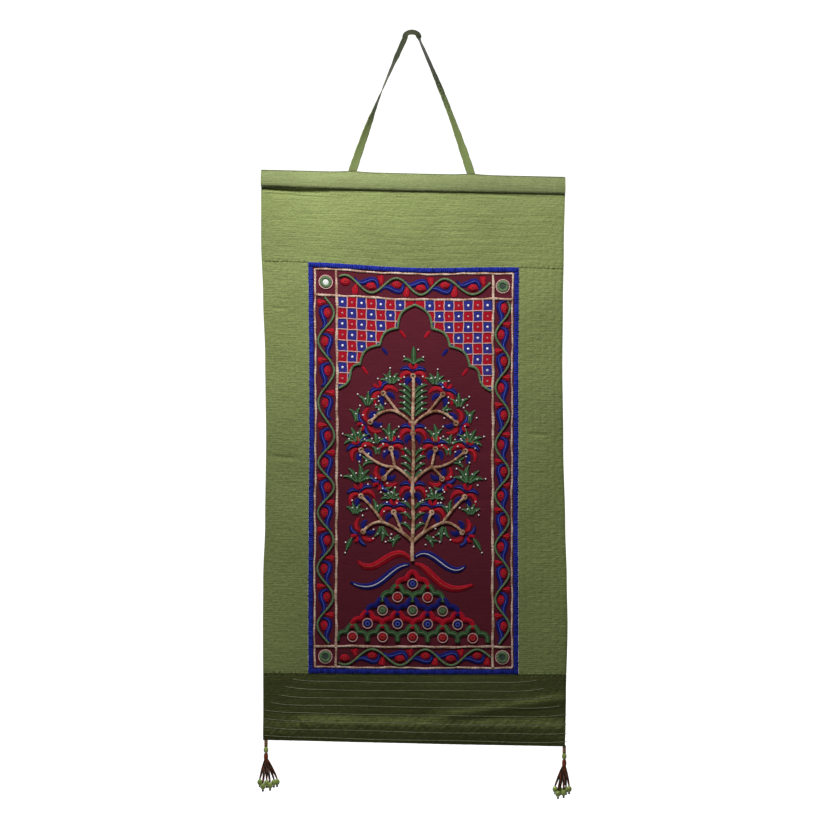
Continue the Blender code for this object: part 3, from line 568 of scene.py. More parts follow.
def satin(name, curves, half_widths, crown, lift, full=1.0, tip=0.75, stations=16, lanes=7):
    """Satin-stitched patches, one to each cubic curve on the cloth. The half width follows the sine of pi
    times s to the power of full, raised to the power of tip, and the face is crowned by one minus the square
    of the share across."""
    curves = np.asarray(curves, dtype=float)
    half_widths = np.broadcast_to(np.asarray(half_widths, dtype=float), (len(curves),))
    s, line, way = curve_points(curves, stations)
    swell = np.sin(np.pi * np.clip(s, 0.012, 0.988) ** full) ** tip
    t = np.linspace(-1.0, 1.0, lanes)
    normal = np.stack([-way[..., 1], way[..., 0]], axis=-1)
    half = half_widths[:, None] * swell[None, :]
    spots = line[:, :, None, :] + normal[:, :, None, :] * (half[:, :, None] * t)[..., None]
    rise = lift - 0.0004 * np.abs(t) ** 6 + crown * (1.0 - t**2) ** 0.6 * swell[:, None] ** 0.5
    x, z = hang(spots[..., 0], spots[..., 1])
    points = np.stack([x, centre_front(spots[..., 0], spots[..., 1]) - rise[None], z], axis=-1)
    run = np.concatenate([np.zeros((len(curves), 1)),
                          np.cumsum(np.linalg.norm(np.diff(line, axis=1), axis=-1), axis=1)], axis=1)
    uv = np.stack([np.broadcast_to(run[:, :, None], half.shape + (lanes,)), half[:, :, None] * t], axis=-1)
    row = np.arange(stations - 1) * lanes
    under = np.stack([row, row + lanes, row + 2 * lanes - 1, row + lanes - 1], axis=1)
    block = np.concatenate([grid_quads(stations, lanes)[:, ::-1], under])
    base = np.arange(len(curves))[:, None] * stations * lanes
    faces = (base[..., None] + block[None]).reshape(-1, 4)
    caps = [base + np.arange(lanes)[None, :], base + (stations - 1) * lanes + np.arange(lanes)[None, ::-1]]
    return make_mesh(name, points.reshape(-1, 3), [faces] + caps, uv.reshape(-1, 2))


def tubes(name, centres, radius, sides=8, flat=1.0, twist=0.0, twist_pitch=0.004, closed=False):
    """Round cords through arrays of centre points. Each section is an ellipse, as deep as flat times its
    width, and a cosine of the angle less the run along the cord makes its twisted plies."""
    centres = np.asarray(centres, dtype=float)
    cords, count = centres.shape[:2]
    radius = np.broadcast_to(np.asarray(radius, dtype=float), (cords, count))
    if closed:
        way = np.roll(centres, -1, axis=1) - np.roll(centres, 1, axis=1)
    else:
        way = np.gradient(centres, axis=1)
    way = way / np.maximum(np.linalg.norm(way, axis=-1, keepdims=True), 1e-9)
    side = np.cross(way, np.array([0.0, -1.0, 0.0]))
    side = side / np.maximum(np.linalg.norm(side, axis=-1, keepdims=True), 1e-9)
    out = np.cross(side, way)
    steps = np.linalg.norm(np.diff(centres, axis=1), axis=-1)
    run = np.concatenate([np.zeros((cords, 1)), np.cumsum(steps, axis=1)], axis=1)
    angle = np.linspace(0.0, 2.0 * np.pi, sides, endpoint=False)
    ply = 1.0 + twist * np.cos(2.0 * angle - 2.0 * np.pi * run[..., None] / twist_pitch)
    thick = radius[..., None] * ply
    ring = side[:, :, None, :] * (thick * np.cos(angle))[..., None]
    ring = ring + out[:, :, None, :] * (thick * np.sin(angle) * flat)[..., None]
    points = centres[:, :, None, :] + ring
    uv = np.stack([np.broadcast_to(run[..., None], thick.shape), radius[..., None] * angle], axis=-1)
    last = count if closed else count - 1
    row = np.arange(last)[:, None]
    lane = np.arange(sides)[None, :]
    here, ahead = row * sides, (row + 1) % count * sides
    beside = (lane + 1) % sides
    block = np.stack([here + lane, ahead + lane, ahead + beside, here + beside], axis=-1)
    offset = np.arange(cords)[:, None, None] * count * sides
    faces = (offset + block.reshape(-1, 4)[None]).reshape(-1, 4)
    blocks = [faces]
    if not closed:
        caps = np.arange(cords)[:, None] * count * sides
        blocks.append(caps + np.arange(sides)[None, :])
        blocks.append(caps + (count - 1) * sides + np.arange(sides)[None, ::-1])
    return make_mesh(name, points.reshape(-1, 3), blocks, uv.reshape(-1, 2))


def laid(name, lines, radius, lift, flat=0.8, **more):
    """Cords laid on the embroidered centre, given as arrays of spots across and down the cloth."""
    lines = np.asarray(lines, dtype=float)
    x, z = hang(lines[..., 0], lines[..., 1])
    deep = np.broadcast_to(radius, lines.shape[:2]) * flat * 0.9
    y = centre_front(lines[..., 0], lines[..., 1]) - lift - deep
    return tubes(name, np.stack([x, y, z], axis=-1), radius, flat=flat, **more)


def rings(centres, radius, count=28):
    """Closed circles on the cloth round an array of spots."""
    angle = np.linspace(0.0, 2.0 * np.pi, count, endpoint=False)
    circle = np.stack([np.cos(angle), np.sin(angle)], axis=-1) * radius
    return np.asarray(centres, dtype=float)[:, None, :] + circle[None]


def domes(name, spots, radius, height, lift, rows=6, lanes=12):
    """Beads, discs and knots: an ellipsoid at each spot of the cloth, given its radius and half height."""
    spots = np.asarray(spots, dtype=float)
    x, z = hang(spots[:, 0], spots[:, 1])
    y = centre_front(spots[:, 0], spots[:, 1]) - lift
    return ellipsoids(name, np.stack([x, y, z], axis=-1), radius, height, radius, rows, lanes)


def ellipsoids(name, centres, wide, deep, tall, rows=7, lanes=12):
    """An ellipsoid at each centre, from its half sizes across, in depth and in height."""
    tilt = np.linspace(0.02, np.pi - 0.02, rows)[:, None]
    turn = np.linspace(0.0, 2.0 * np.pi, lanes, endpoint=False)[None, :]
    shape = np.stack([
        np.sin(tilt) * np.cos(turn) * wide,
        np.broadcast_to(-np.cos(tilt) * deep, (rows, lanes)),
        np.sin(tilt) * np.sin(turn) * tall,
    ], axis=-1)
    points = np.asarray(centres, dtype=float)[:, None, None, :] + shape[None]
    row = np.arange(rows - 1)[:, None] * lanes
    lane = np.arange(lanes)[None, :]
    ahead = (lane + 1) % lanes
    block = np.stack([row + lane, row + lanes + lane, row + lanes + ahead, row + ahead], axis=-1)
    block = block.reshape(-1, 4)
    offset = np.arange(len(points))[:, None, None] * rows * lanes
    base = np.arange(len(points))[:, None] * rows * lanes
    caps = [base + np.arange(lanes)[None, :], base + (rows - 1) * lanes + np.arange(lanes)[None, ::-1]]
    faces = (offset + block[None]).reshape(-1, 4)
    uv = np.stack([np.broadcast_to(turn, (rows, lanes)), np.broadcast_to(tilt, (rows, lanes))], axis=-1)
    uv = np.broadcast_to(uv[None], points.shape[:3] + (2,)).reshape(-1, 2)
    return make_mesh(name, points.reshape(-1, 3), [faces] + caps, uv)


def niche_half(count):
    """Lobes of one side of the niche from its foot up: each bows out from its chord by a sine."""
    cusps = np.array(CUSPS)
    share = np.linspace(0.0, 1.0, count, endpoint=False)
    run = np.diff(cusps[:, :2], axis=0)
    length = np.linalg.norm(run, axis=1)
    swell = cusps[:-1, 2][:, None] * np.sin(np.pi * share)
    out = cusps[:-1, 0][:, None] + run[:, 0][:, None] * share + swell * (run[:, 1] / length)[:, None]
    up = cusps[:-1, 1][:, None] + run[:, 1][:, None] * share - swell * (run[:, 0] / length)[:, None]
    half = np.stack([out.ravel(), up.ravel()], axis=-1)
    return np.concatenate([half, cusps[-1:, :2]])


def niche_height(out):
    """Height of the niche cord over its foot at an array of distances from the middle."""
    half = niche_half(12)
    order = np.argsort(half[:, 0])
    return np.interp(out, half[order, 0], half[order, 1])


def shaded(colour, factor):
    """A colour made lighter or darker by a factor."""
    return tuple(min(1.0, value * factor) for value in colour)


class Finish:
    """One material: its principled shader with even values, and the texture nodes that feed it."""

    def __init__(self, name, colour, roughness, sheen, specular=0.4):
        self.material = bpy.data.materials.new(name)
        self.material.use_nodes = True
        self.nodes = self.material.node_tree.nodes
        self.link = self.material.node_tree.links.new
        self.shader = self.nodes["Principled BSDF"]
        self.shader.inputs["Base Color"].default_value = (*colour, 1.0)
        self.shader.inputs["Roughness"].default_value = roughness
        self.shader.inputs["Specular IOR Level"].default_value = specular
        self.shader.inputs["Sheen Weight"].default_value = sheen
        self.shader.inputs["Sheen Roughness"].default_value = 0.4
        self.shader.inputs["Specular Tint"].default_value = (*shaded(colour, 1.6), 1.0)

    def node(self, kind, sources, values=None):
        """New node of a kind, with sources linked to some of its sockets and even values set on others."""
        made = self.nodes.new("ShaderNode" + kind)
        for socket, value in (values or {}).items():
            made.inputs[socket].default_value = value
        for socket, source in sources.items():
            self.link(source, made.inputs[socket])
        return made

    def mapped(self, source, **values):
        """A coordinate scaled or turned on each axis."""
        return self.node("Mapping", {"Vector": source}, values).outputs["Vector"]

    def coordinate(self, output, scale=None):
        """The piece's own coordinate of a kind, scaled on each axis where a scale is given."""
        source = self.nodes.new("ShaderNodeTexCoord").outputs[output]
        return source if scale is None else self.mapped(source, Scale=scale)

    def noise(self, vector, scale=1.0, detail=3.0):
        """Noise over a coordinate."""
        values = {"Scale": scale, "Detail": detail}
        return self.node("TexNoise", {"Vector": vector}, values).outputs["Fac"]

    def wave(self, vector, period, axis, distortion=1.0):
        """Banded wave over a coordinate in metres: its scale is two pi over twenty times its period."""
        scale = 2.0 * math.pi / (20.0 * period)
        values = {"Scale": scale, "Distortion": distortion, "Detail": 2.0, "Detail Scale": 1.0}
        made = self.node("TexWave", {"Vector": vector}, values)
        made.wave_type = "BANDS"
        made.bands_direction = axis
        return made.outputs["Fac"]

    def total(self, first, second, factor=1.0):
        """First value plus the second one times a factor."""
        weighed = self.node("Math", {0: second}, {1: factor})
        weighed.operation = "MULTIPLY"
        added = self.node("Math", {0: first, 1: weighed.outputs[0]})
        added.operation = "ADD"
        return added.outputs[0]

    def ramp(self, value, low, high, start=0.3, end=0.7):
        """Colour from one to another as a value runs from start to end."""
        span = self.node("MapRange", {"Value": value}, {"From Min": start, "From Max": end})
        blend = self.nodes.new("ShaderNodeMix")
        blend.data_type = "RGBA"
        blend.inputs["A"].default_value = (*low, 1.0)
        blend.inputs["B"].default_value = (*high, 1.0)
        self.link(span.outputs["Result"], blend.inputs["Factor"])
        return blend.outputs["Result"]

    def paint(self, colours):
        """Colour of the surface from a colour output."""
        self.link(colours, self.shader.inputs["Base Color"])

    def bump(self, height, distance, strength=1.0):
        """Bump from a height value, over a distance in metres."""
        made = self.node("Bump", {"Height": height}, {"Strength": strength, "Distance": distance})
        self.link(made.outputs["Normal"], self.shader.inputs["Normal"])


def silk_material(name, colour, roughness=0.50, sheen=0.06, variation=0.10, specular=0.5, slub=0.5,
                  metallic=0.0):
    """Woven silk: fine warp and weft bands, long horizontal slubs, and a slow change of tone."""
    made = Finish(name, colour, roughness, sheen, specular)
    made.shader.inputs["Metallic"].default_value = metallic
    cloth = made.coordinate("UV")
    weave = made.total(made.wave(cloth, 0.0007, "X", 0.6), made.wave(cloth, 0.0009, "Y", 0.8))
    slubs = made.noise(made.coordinate("UV", SLUB_SCALE), detail=4.0)
    crush = made.noise(made.coordinate("UV", CRUSH_SCALE))
    slow = made.noise(made.coordinate("Object", (5, 5, 7)))
    tone = made.total(made.total(slubs, slow, 0.9), crush, 0.9)
    made.paint(made.ramp(tone, shaded(colour, 1 - variation), shaded(colour, 1 + variation), 1.1, 1.7))
    made.bump(made.total(made.total(slubs, weave, 0.10), crush, 0.9), 0.0011 * slub)


def thread_material(name, colour, pitch=0.0011, variation=0.25, patch=140.0, slant=0.0, other=None):
    """Laid embroidery thread: bands across the patch, with painted shade between threads, with streaks of
    tone, or of a second colour."""
    made = Finish(name, colour, THREAD_ROUGHNESS, THREAD_SHEEN, 0.5)
    turned = made.mapped(made.coordinate("UV"), Rotation=(0.0, 0.0, slant))
    threads = made.wave(turned, pitch, "X", 1.2)
    streak = made.noise(made.mapped(turned, Scale=(1.0, 0.12, 1)), patch * 4.0, 2)
    slow = made.noise(made.coordinate("Object"), patch, 2)
    tone = made.total(streak, threads, 0.25)
    if other is None:
        tone = made.total(tone, slow, 0.8)
        made.paint(made.ramp(tone, shaded(colour, 1 - variation), shaded(colour, 1 + variation), 0.7, 1.35))
    else:
        tone = made.total(tone, slow, 2.4)
        made.paint(made.ramp(tone, shaded(colour, 1 - variation), other, 1.50, 2.15))
    made.bump(made.total(threads, streak, 0.8), 0.0005)


def two_tone_material(name, colour, other, pitch=0.0012):
    """Embroidery thread in two colours, chosen for each patch by its tone."""
    made = Finish(name, colour, THREAD_ROUGHNESS, THREAD_SHEEN, 0.5)
    picked = made.nodes.new("ShaderNodeAttribute")
    picked.attribute_name = "tone"
    threads = made.wave(made.coordinate("UV"), pitch, "Y", 1.5)
    streak = made.noise(made.coordinate("UV", (120, 900, 1)), detail=2.0)
    # Painted shade between threads, with darker streaks of tone at random, multiplies the patch's colour
    shade = made.total(threads, streak, 1.2)
    blend = made.nodes.new("ShaderNodeMix")
    blend.data_type = "RGBA"
    blend.blend_type = "MULTIPLY"
    blend.inputs["Factor"].default_value = 1.0
    made.link(made.ramp(picked.outputs["Fac"], colour, other, 0.45, 0.55), blend.inputs["A"])
    made.link(made.ramp(shade, (0.55, 0.55, 0.55), (1.0, 1.0, 1.0), 0.4, 1.4), blend.inputs["B"])
    made.paint(blend.outputs["Result"])
    made.bump(shade, 0.0004)


def tape_material(name, colour, top):
    """Silk tape, darker towards its bend: the ramp follows four times its height, blurred by a noise."""
    made = Finish(name, colour, 0.5, 0.06)
    split = made.node("SeparateXYZ", {"Vector": made.coordinate("Object")})
    crush = made.noise(made.coordinate("UV", CRUSH_SCALE))
    height = made.total(crush, split.outputs["Z"], 4.0)
    made.paint(made.ramp(height, colour, top, 0.0, 0.2))
    made.bump(crush, 0.0005)


def bead_material(name, colour, roughness=0.12):
    """Glass bead with a slight change of tone from bead to bead."""
    made = Finish(name, colour, roughness, 0.0, 0.8)
    spots = made.noise(made.coordinate("Object"), 260.0, 1)
    made.paint(made.ramp(spots, shaded(colour, 0.75), shaded(colour, 1.25)))
    made.bump(spots, 0.0001)
    made.shader.inputs["Coat Weight"].default_value = 0.6
    made.shader.inputs["Coat Roughness"].default_value = 0.05


def mirror_material(name, colour, roughness, metallic):
    """Small hand-cut mirror: silvered glass with faint ripples; a pale base colour is a painted glare."""
    made = Finish(name, colour, roughness, 0.0, 0.6)
    ripple = made.noise(made.coordinate("Object"), 180.0, 2)
    made.paint(made.ramp(ripple, shaded(colour, 0.85), shaded(colour, 1.10)))
    made.bump(ripple, 0.0002, 0.5)
    made.shader.inputs["Metallic"].default_value = metallic


# Every material: its maker, its colour or the setting that holds it, and what differs from the maker's own
# values
MATERIALS = {
    # heading_silk: the surround's silk in a darker copy, as painted shade
    "heading_silk": (silk_material, "heading_colour", {"variation": 0.26}),
    "green_silk": (silk_material, "green_colour", {"variation": 0.25, "slub": 0.9}),
    # hem_silk: darker surround silk as painted shade, with a real metallic sheen from the shader
    "hem_silk": (silk_material, "hem_colour", {
        "roughness": 0.52, "sheen": 0.03, "variation": 0.30, "specular": 0.6, "slub": 0.60,
        "metallic": 0.62}),
    "maroon_cloth": (silk_material, "maroon_colour", {
        "roughness": 0.62, "sheen": 0.05, "variation": 0.14, "specular": 0.25, "slub": 0.35}),
    "blue": (thread_material, "blue_colour", {"pitch": 0.0034, "variation": 0.75, "patch": 170.0}),
    "motif_blue": (thread_material, "motif_blue_colour", {"variation": 0.35, "slant": 0.5}),
    "red": (thread_material, "red_colour", {"variation": 0.30, "slant": 0.5}),
    "green": (thread_material, "leaf_colour", {"variation": 0.35, "slant": 0.5}),
    "vine": (thread_material, "vine_colour", {"pitch": 0.0022, "variation": 0.35, "patch": 60.0}),
    "peach": (thread_material, "peach_colour", {"pitch": 0.0024, "patch": 60.0, "other": (0.80, 0.61, 0.49)}),
    "bough": (thread_material, "bough_colour", {"pitch": 0.0022, "patch": 70.0, "other": (0.74, 0.49, 0.34)}),
    "pale": (thread_material, "pale_colour", {"pitch": 0.0018, "variation": 0.22, "patch": 50.0}),
    "white_thread": (thread_material, (0.80, 0.80, 0.86), {"variation": 0.12}),
    "orange": (thread_material, (0.60, 0.06, 0.05), {"variation": 0.20}),
    "light_green": (thread_material, (0.17, 0.32, 0.16), {"variation": 0.35}),
    "light_blue": (thread_material, (0.10, 0.15, 0.60), {}),
    "check": (two_tone_material, "red_colour", {"other": "check_blue_colour"}),
    "stitch": (thread_material, (0.190, 0.225, 0.085), {"variation": 0.3}),
    # hem_stitch: real quilting thread, its pale colour a painted highlight of the hem's ridges
    "hem_stitch": (thread_material, (0.460, 0.500, 0.300), {"variation": 0.3}),
    # seam: dark thread of the seams, also used as the painted shadow along the heading's top edge
    "seam": (thread_material, (0.095, 0.120, 0.040), {"pitch": 0.0040, "variation": 0.5}),
    "pink_knot": (thread_material, (0.86, 0.50, 0.50), {"variation": 0.2}),
    "tassel_cord": (thread_material, (0.420, 0.240, 0.130), {"variation": 0.4}),
    "pink_stitch": (thread_material, (0.34, 0.21, 0.14), {"variation": 0.3}),
    "tape": (tape_material, "tape_colour", {"top": (0.030, 0.034, 0.020)}),
    "white_bead": (bead_material, (0.90, 0.88, 0.88), {"roughness": 0.25}),
    "green_bead": (bead_material, (0.38, 0.48, 0.13), {}),
    "black_bead": (bead_material, (0.006, 0.006, 0.006), {}),
    # mirror: pale disc, a painted glare of the top left mirror; dark_mirror: dark disc of the other mirrors
    "mirror": (mirror_material, (0.90, 0.93, 0.92), {"roughness": 0.30, "metallic": 0.15}),
    "dark_mirror": (mirror_material, (0.10, 0.15, 0.12), {"roughness": 0.22, "metallic": 0.50}),
    "wrap": (thread_material, (0.42, 0.110, 0.045), {"pitch": 0.0010, "variation": 0.35}),
    "strand": (thread_material, (0.050, 0.042, 0.032), {"pitch": 0.0014, "variation": 0.6, "patch": 300.0}),
}


def looked_up(value):
    """A value of the materials' table, read from the settings where it names one of them."""
    return getattr(bpy.context.scene.wall_hanging, value) if isinstance(value, str) else value


def shared_material(key):
    """The shared material of a key, made the first time that a piece asks for it."""
    name = "hanging_" + key
    if name not in bpy.data.materials:
        maker, colour, more = MATERIALS[key]
        maker(name, looked_up(colour), **{word: looked_up(value) for word, value in more.items()})
    return bpy.data.materials[name]


def spaced(start, end, pitch):
    """Evenly spaced stations, no further apart than a pitch."""
    return np.linspace(start, end, max(2, int(math.ceil(abs(end - start) / pitch)) + 1))


class HangingSettings(PropertyGroup):
    """Sizes and colours that a user would change."""

    quilt_rise: FloatProperty(
        name="Quilt Rise", description="Fullness of the cloth between two rows of quilting",
        default=0.0013, min=0.0, max=0.003, unit="LENGTH")
    fine_step: FloatProperty(
        name="Fine Step", description="Spacing of the points of the quilted panels",
        default=0.0016, min=0.001, max=0.006, unit="LENGTH")
    strands: IntProperty(
        name="Tassel Strands", description="Threads to each end bead of a tassel", default=6, min=2, max=12)
    # Heading silk: a darker copy of the surround's silk, painted shade that offsets the key lamp's stronger
    # light on the rolled heading
    heading_colour: FloatVectorProperty(
        name="Heading", description="Silk of the rolled heading", subtype="COLOR",
        default=(0.176, 0.208, 0.088))
    green_colour: FloatVectorProperty(
        name="Surround", description="Silk of the quilted strips", subtype="COLOR",
        default=(0.228, 0.274, 0.100))
    # Hem silk: a darker copy of the surround's silk, painted shade for the satin's nap turned from the light;
    # its sheen comes from the shader
    hem_colour: FloatVectorProperty(
        name="Hem", description="Silk of the bottom strip", subtype="COLOR", default=(0.104, 0.118, 0.040))
    maroon_colour: FloatVectorProperty(
        name="Centre", description="Cloth of the embroidered centre", subtype="COLOR",
        default=(0.108, 0.017, 0.028))
    blue_colour: FloatVectorProperty(
        name="Binding", description="Satin stitch of the binding", subtype="COLOR",
        default=(0.016, 0.026, 0.250))
    motif_blue_colour: FloatVectorProperty(
        name="Motif Blue", description="Blue petals and leaves", subtype="COLOR",
        default=(0.018, 0.018, 0.190))
    check_blue_colour: FloatVectorProperty(
        name="Check Blue", description="Blue checks", subtype="COLOR", default=(0.010, 0.045, 0.330))
    red_colour: FloatVectorProperty(
        name="Motif Red", description="Red petals and checks", subtype="COLOR",
        default=(0.520, 0.012, 0.030))
    leaf_colour: FloatVectorProperty(
        name="Leaf Green", description="Green leaves", subtype="COLOR", default=(0.048, 0.122, 0.046))
    vine_colour: FloatVectorProperty(
        name="Vine Green", description="Meander vine and niche cord", subtype="COLOR",
        default=(0.125, 0.205, 0.100))
    peach_colour: FloatVectorProperty(
        name="Peach Line", description="Couched frame lines", subtype="COLOR",
        default=(0.520, 0.300, 0.205))
    bough_colour: FloatVectorProperty(
        name="Bough", description="Trunk and boughs", subtype="COLOR", default=(0.360, 0.175, 0.090))
    pale_colour: FloatVectorProperty(
        name="Pale Line", description="Lines of the checks and collars", subtype="COLOR",
        default=(0.740, 0.450, 0.410))
    tape_colour: FloatVectorProperty(
        name="Tape", description="Tape of the hanger", subtype="COLOR", default=(0.155, 0.195, 0.072))


class HeadingOperator(Operator):
    """Build the rolled heading and the stitches that hold it"""

    bl_idname = "wall_hanging.heading"
    bl_label = "Heading"

    def execute(self, context):
        across = spaced(-HALF_WIDTH, HALF_WIDTH, HEADING_STEP)
        down = np.r_[np.linspace(0.0, 0.0034, 6), np.linspace(0.0050, 0.0216, 12),
                     np.linspace(0.0226, HEADING_DROP - SEAM_HALF_GAP, 8)]
        piece = closed_slab("heading_casing", across, down, heading_front, panel_back)
        fit(piece, "heading_silk", "heading_silk", "heading")
        starts = np.arange(-HALF_WIDTH + 0.006, HALF_WIDTH - 0.006, HEADING_STITCH_PITCH)
        level = np.full_like(starts, HEADING_DROP + HEADING_STITCHES_BELOW)
        build_stitches("heading_stitches", starts, level, HEADING_STITCH_LENGTH, 0.0, 0.00034)
        return {"FINISHED"}


def sew(name, lines, key, radius, lift=0.00012, sides=5):
    """Threads on the face of the quilted cloth, given as arrays of spots across and down."""
    x, z = hang(lines[..., 0], lines[..., 1])
    y = panel_front(lines[..., 0], lines[..., 1]) - lift
    piece = tubes(name, np.stack([x, y, z], axis=-1), np.broadcast_to(radius, y.shape), sides)
    return fit(piece, key, "green_silk")


def build_stitches(name, across, down, length, turn, radius):
    """Running stitches: short threads on the quilted cloth, given where each starts and which way it runs."""
    share = np.linspace(0.0, 1.0, 3)
    lines = np.stack([
        across[:, None] + length * share[None, :] * math.cos(turn),
        down[:, None] + length * share[None, :] * math.sin(turn),
    ], axis=-1)
    return sew(name, lines, "stitch", np.array([0.25, 1.0, 0.25]) * radius, sides=4)


class SurroundOperator(Operator):
    """Build the four quilted strips of the surround"""

    bl_idname = "wall_hanging.surround"
    bl_label = "Quilted Surround"

    def execute(self, context):
        step = context.scene.wall_hanging.fine_step
        gap = SEAM_HALF_GAP
        full_width = spaced(-HALF_WIDTH, HALF_WIDTH, step)
        sides = spaced(TOP_SEAM + gap, BOTTOM_SEAM - gap, step)
        left = spaced(-HALF_WIDTH, LEFT_SEAM - gap, step * 0.8)
        right = spaced(RIGHT_SEAM + gap, HALF_WIDTH, step * 0.8)
        strips = (
            ("top_quilted_strip", full_width, spaced(HEADING_DROP + gap, TOP_SEAM - gap, step * 0.8),
             "green_silk", "green_silk", "top_panel"),
            ("left_quilted_strip", left, sides, "green_silk", "green_silk", "left_panel"),
            ("right_quilted_strip", right, sides, "green_silk", "green_silk", "right_panel"),
            # The bottom strip's darker silk is painted shade
            ("bottom_quilted_strip", full_width, spaced(BOTTOM_SEAM + gap, CLOTH_DROP, step * 0.8),
             "hem_silk", "shaded_green_silk", "bottom_panel"),
        )
        for name, across, down, key, slot, node in strips:
            piece = closed_slab(name, across, down, panel_front, panel_back)
            fit(piece, key, slot, node)
        return {"FINISHED"}


class QuiltingOperator(Operator):
    """Sew the running stitches of the quilting rows"""

    bl_idname = "wall_hanging.quilting"
    bl_label = "Quilting Stitches"

    def execute(self, context):
        level, upright = [], []
        for number in range(1, TOP_ROWS + 1):
            reach = min(number * SIDE_ROW_PITCH, HALF_WIDTH + LEFT_SEAM - 0.005)
            across = np.arange(LEFT_SEAM - reach, RIGHT_SEAM + reach, STITCH_PITCH)
            across = across[np.abs(across) < HALF_WIDTH - 0.008]
            down = TOP_SEAM - (number - row_wobble(across, number)) * TOP_ROW_PITCH
            level.append(np.stack([across, down], axis=-1))
        # Hem rows: real quilting rows, sewn as pale threads whose light colour is a painted highlight of the
        # ridges they pull up
        rows = np.arange(1, BOTTOM_ROWS + 1)[:, None]
        reach = np.minimum(0.015 + rows * SIDE_ROW_PITCH, HALF_WIDTH + LEFT_SEAM - 0.002)
        share = np.linspace(0.0, 1.0, 260)[None, :]
        across = LEFT_SEAM - reach + (RIGHT_SEAM - LEFT_SEAM + 2.0 * reach) * share
        inward = np.clip(1.0 - np.minimum(share, 1.0 - share) / 0.13, 0.0, 1.0)
        curl = np.where(rows <= 5, 0.0042, 0.0026) * inward**2.4
        waver = 0.0005 * np.sin(across * 27.0 + rows * 1.9)
        threads = np.stack([across, BOTTOM_SEAM + rows * BOTTOM_ROW_PITCH - curl + waver], axis=-1)
        sew("hem_threads", threads, "hem_stitch", HEM_THREAD_RADIUS, 0.0003)
        for number in range(1, SIDE_ROWS + 1):
            for seam, direction in ((LEFT_SEAM, -1.0), (RIGHT_SEAM, 1.0)):
                top = max(TOP_SEAM - number * TOP_ROW_PITCH, TOP_SEAM + 0.002)
                down = np.arange(top, BOTTOM_SEAM - 0.004, STITCH_PITCH)
                across = seam + direction * (number - row_wobble(down, number)) * SIDE_ROW_PITCH
                keep = np.abs(across) < HALF_WIDTH - 0.003
                upright.append(np.stack([across, down], axis=-1)[keep])
        for way, turn, starts in (("level", 0.0, level), ("upright", math.pi / 2, upright)):
            across, down = np.concatenate(starts).T
            build_stitches(way + "_quilting_stitches", across, down, STITCH_LENGTH, turn, STITCH_RADIUS)
        share = np.linspace(0.0, 1.0, 160)[None, :]
        edges = np.array([[-HALF_WIDTH + 0.001, LEFT_SEAM], [RIGHT_SEAM, HALF_WIDTH - 0.001]] * 2)
        level = np.array([TOP_SEAM, TOP_SEAM, BOTTOM_SEAM, BOTTOM_SEAM])[:, None]
        across = edges[:, :1] + (edges[:, 1:] - edges[:, :1]) * share
        seams = np.stack([across, np.broadcast_to(level, across.shape)], axis=-1)
        swell = SEAM_THREAD_RADIUS * (1.0 + 0.35 * np.sin(across * 900.0))
        sew("seam_threads", seams, "seam", swell, -0.0002)
        # A dark thread along the heading's top edge: painted shadow of the rolled edge, in the seams' dark
        # thread
        across = np.linspace(-HALF_WIDTH + 0.0005, HALF_WIDTH - 0.0005, 300)[None, :]
        x, z = hang(across, np.zeros_like(across))
        edge = np.stack([x, rest_depth(across, 0.0) + EDGE_ROLL_DEPTH, z + 0.0005], axis=-1)
        fit(tubes("heading_edge_thread", edge, 0.0010, sides=6), "seam", "green_silk")
        return {"FINISHED"}


class CentreOperator(Operator):
    """Build the maroon centre and its blue binding"""

    bl_idname = "wall_hanging.centre"
    bl_label = "Centre and Binding"

    def execute(self, context):
        gap = SEAM_HALF_GAP
        across = spaced(LEFT_SEAM + gap, RIGHT_SEAM - gap, CENTRE_STEP)
        down = spaced(TOP_SEAM + gap, BOTTOM_SEAM - gap, CENTRE_STEP)
        piece = closed_slab("embroidered_centre", across, down, centre_front, panel_back)
        fit(piece, "maroon_cloth", "maroon_cloth", "centre_panel")
        half = BINDING_WIDTH / 2.0
        upright = np.linspace(TOP_SEAM + BINDING_WIDTH, BOTTOM_SEAM - BINDING_WIDTH, 1300)
        level = np.linspace(LEFT_SEAM + 0.0003, RIGHT_SEAM - 0.0003, 700)
        lengths = {
            "left": (np.full_like(upright, LEFT_SEAM + half), upright),
            "right": (np.full_like(upright, RIGHT_SEAM - half), upright),
            "top": (level, np.full_like(level, TOP_SEAM + half)),
            "bottom": (level, np.full_like(level, BOTTOM_SEAM - half)),
        }
        for side, (aside, below) in lengths.items():
            line = np.stack([aside, below], axis=-1)[None]
            run = np.arange(line.shape[1])
            ragged = 0.97 + 0.050 * np.sin(run * 1.15) + 0.045 * np.sin(run * 0.47 + len(side))
            ragged = ragged + 0.03 * np.sin(run * 0.11 + len(side))
            piece = laid("satin_binding_" + side, line, (half - 0.0001) * ragged[None], 0.0000, flat=0.30,
                         sides=10)
            fit(piece, "blue", "blue_thread", "binding_" + side)
        return {"FINISHED"}


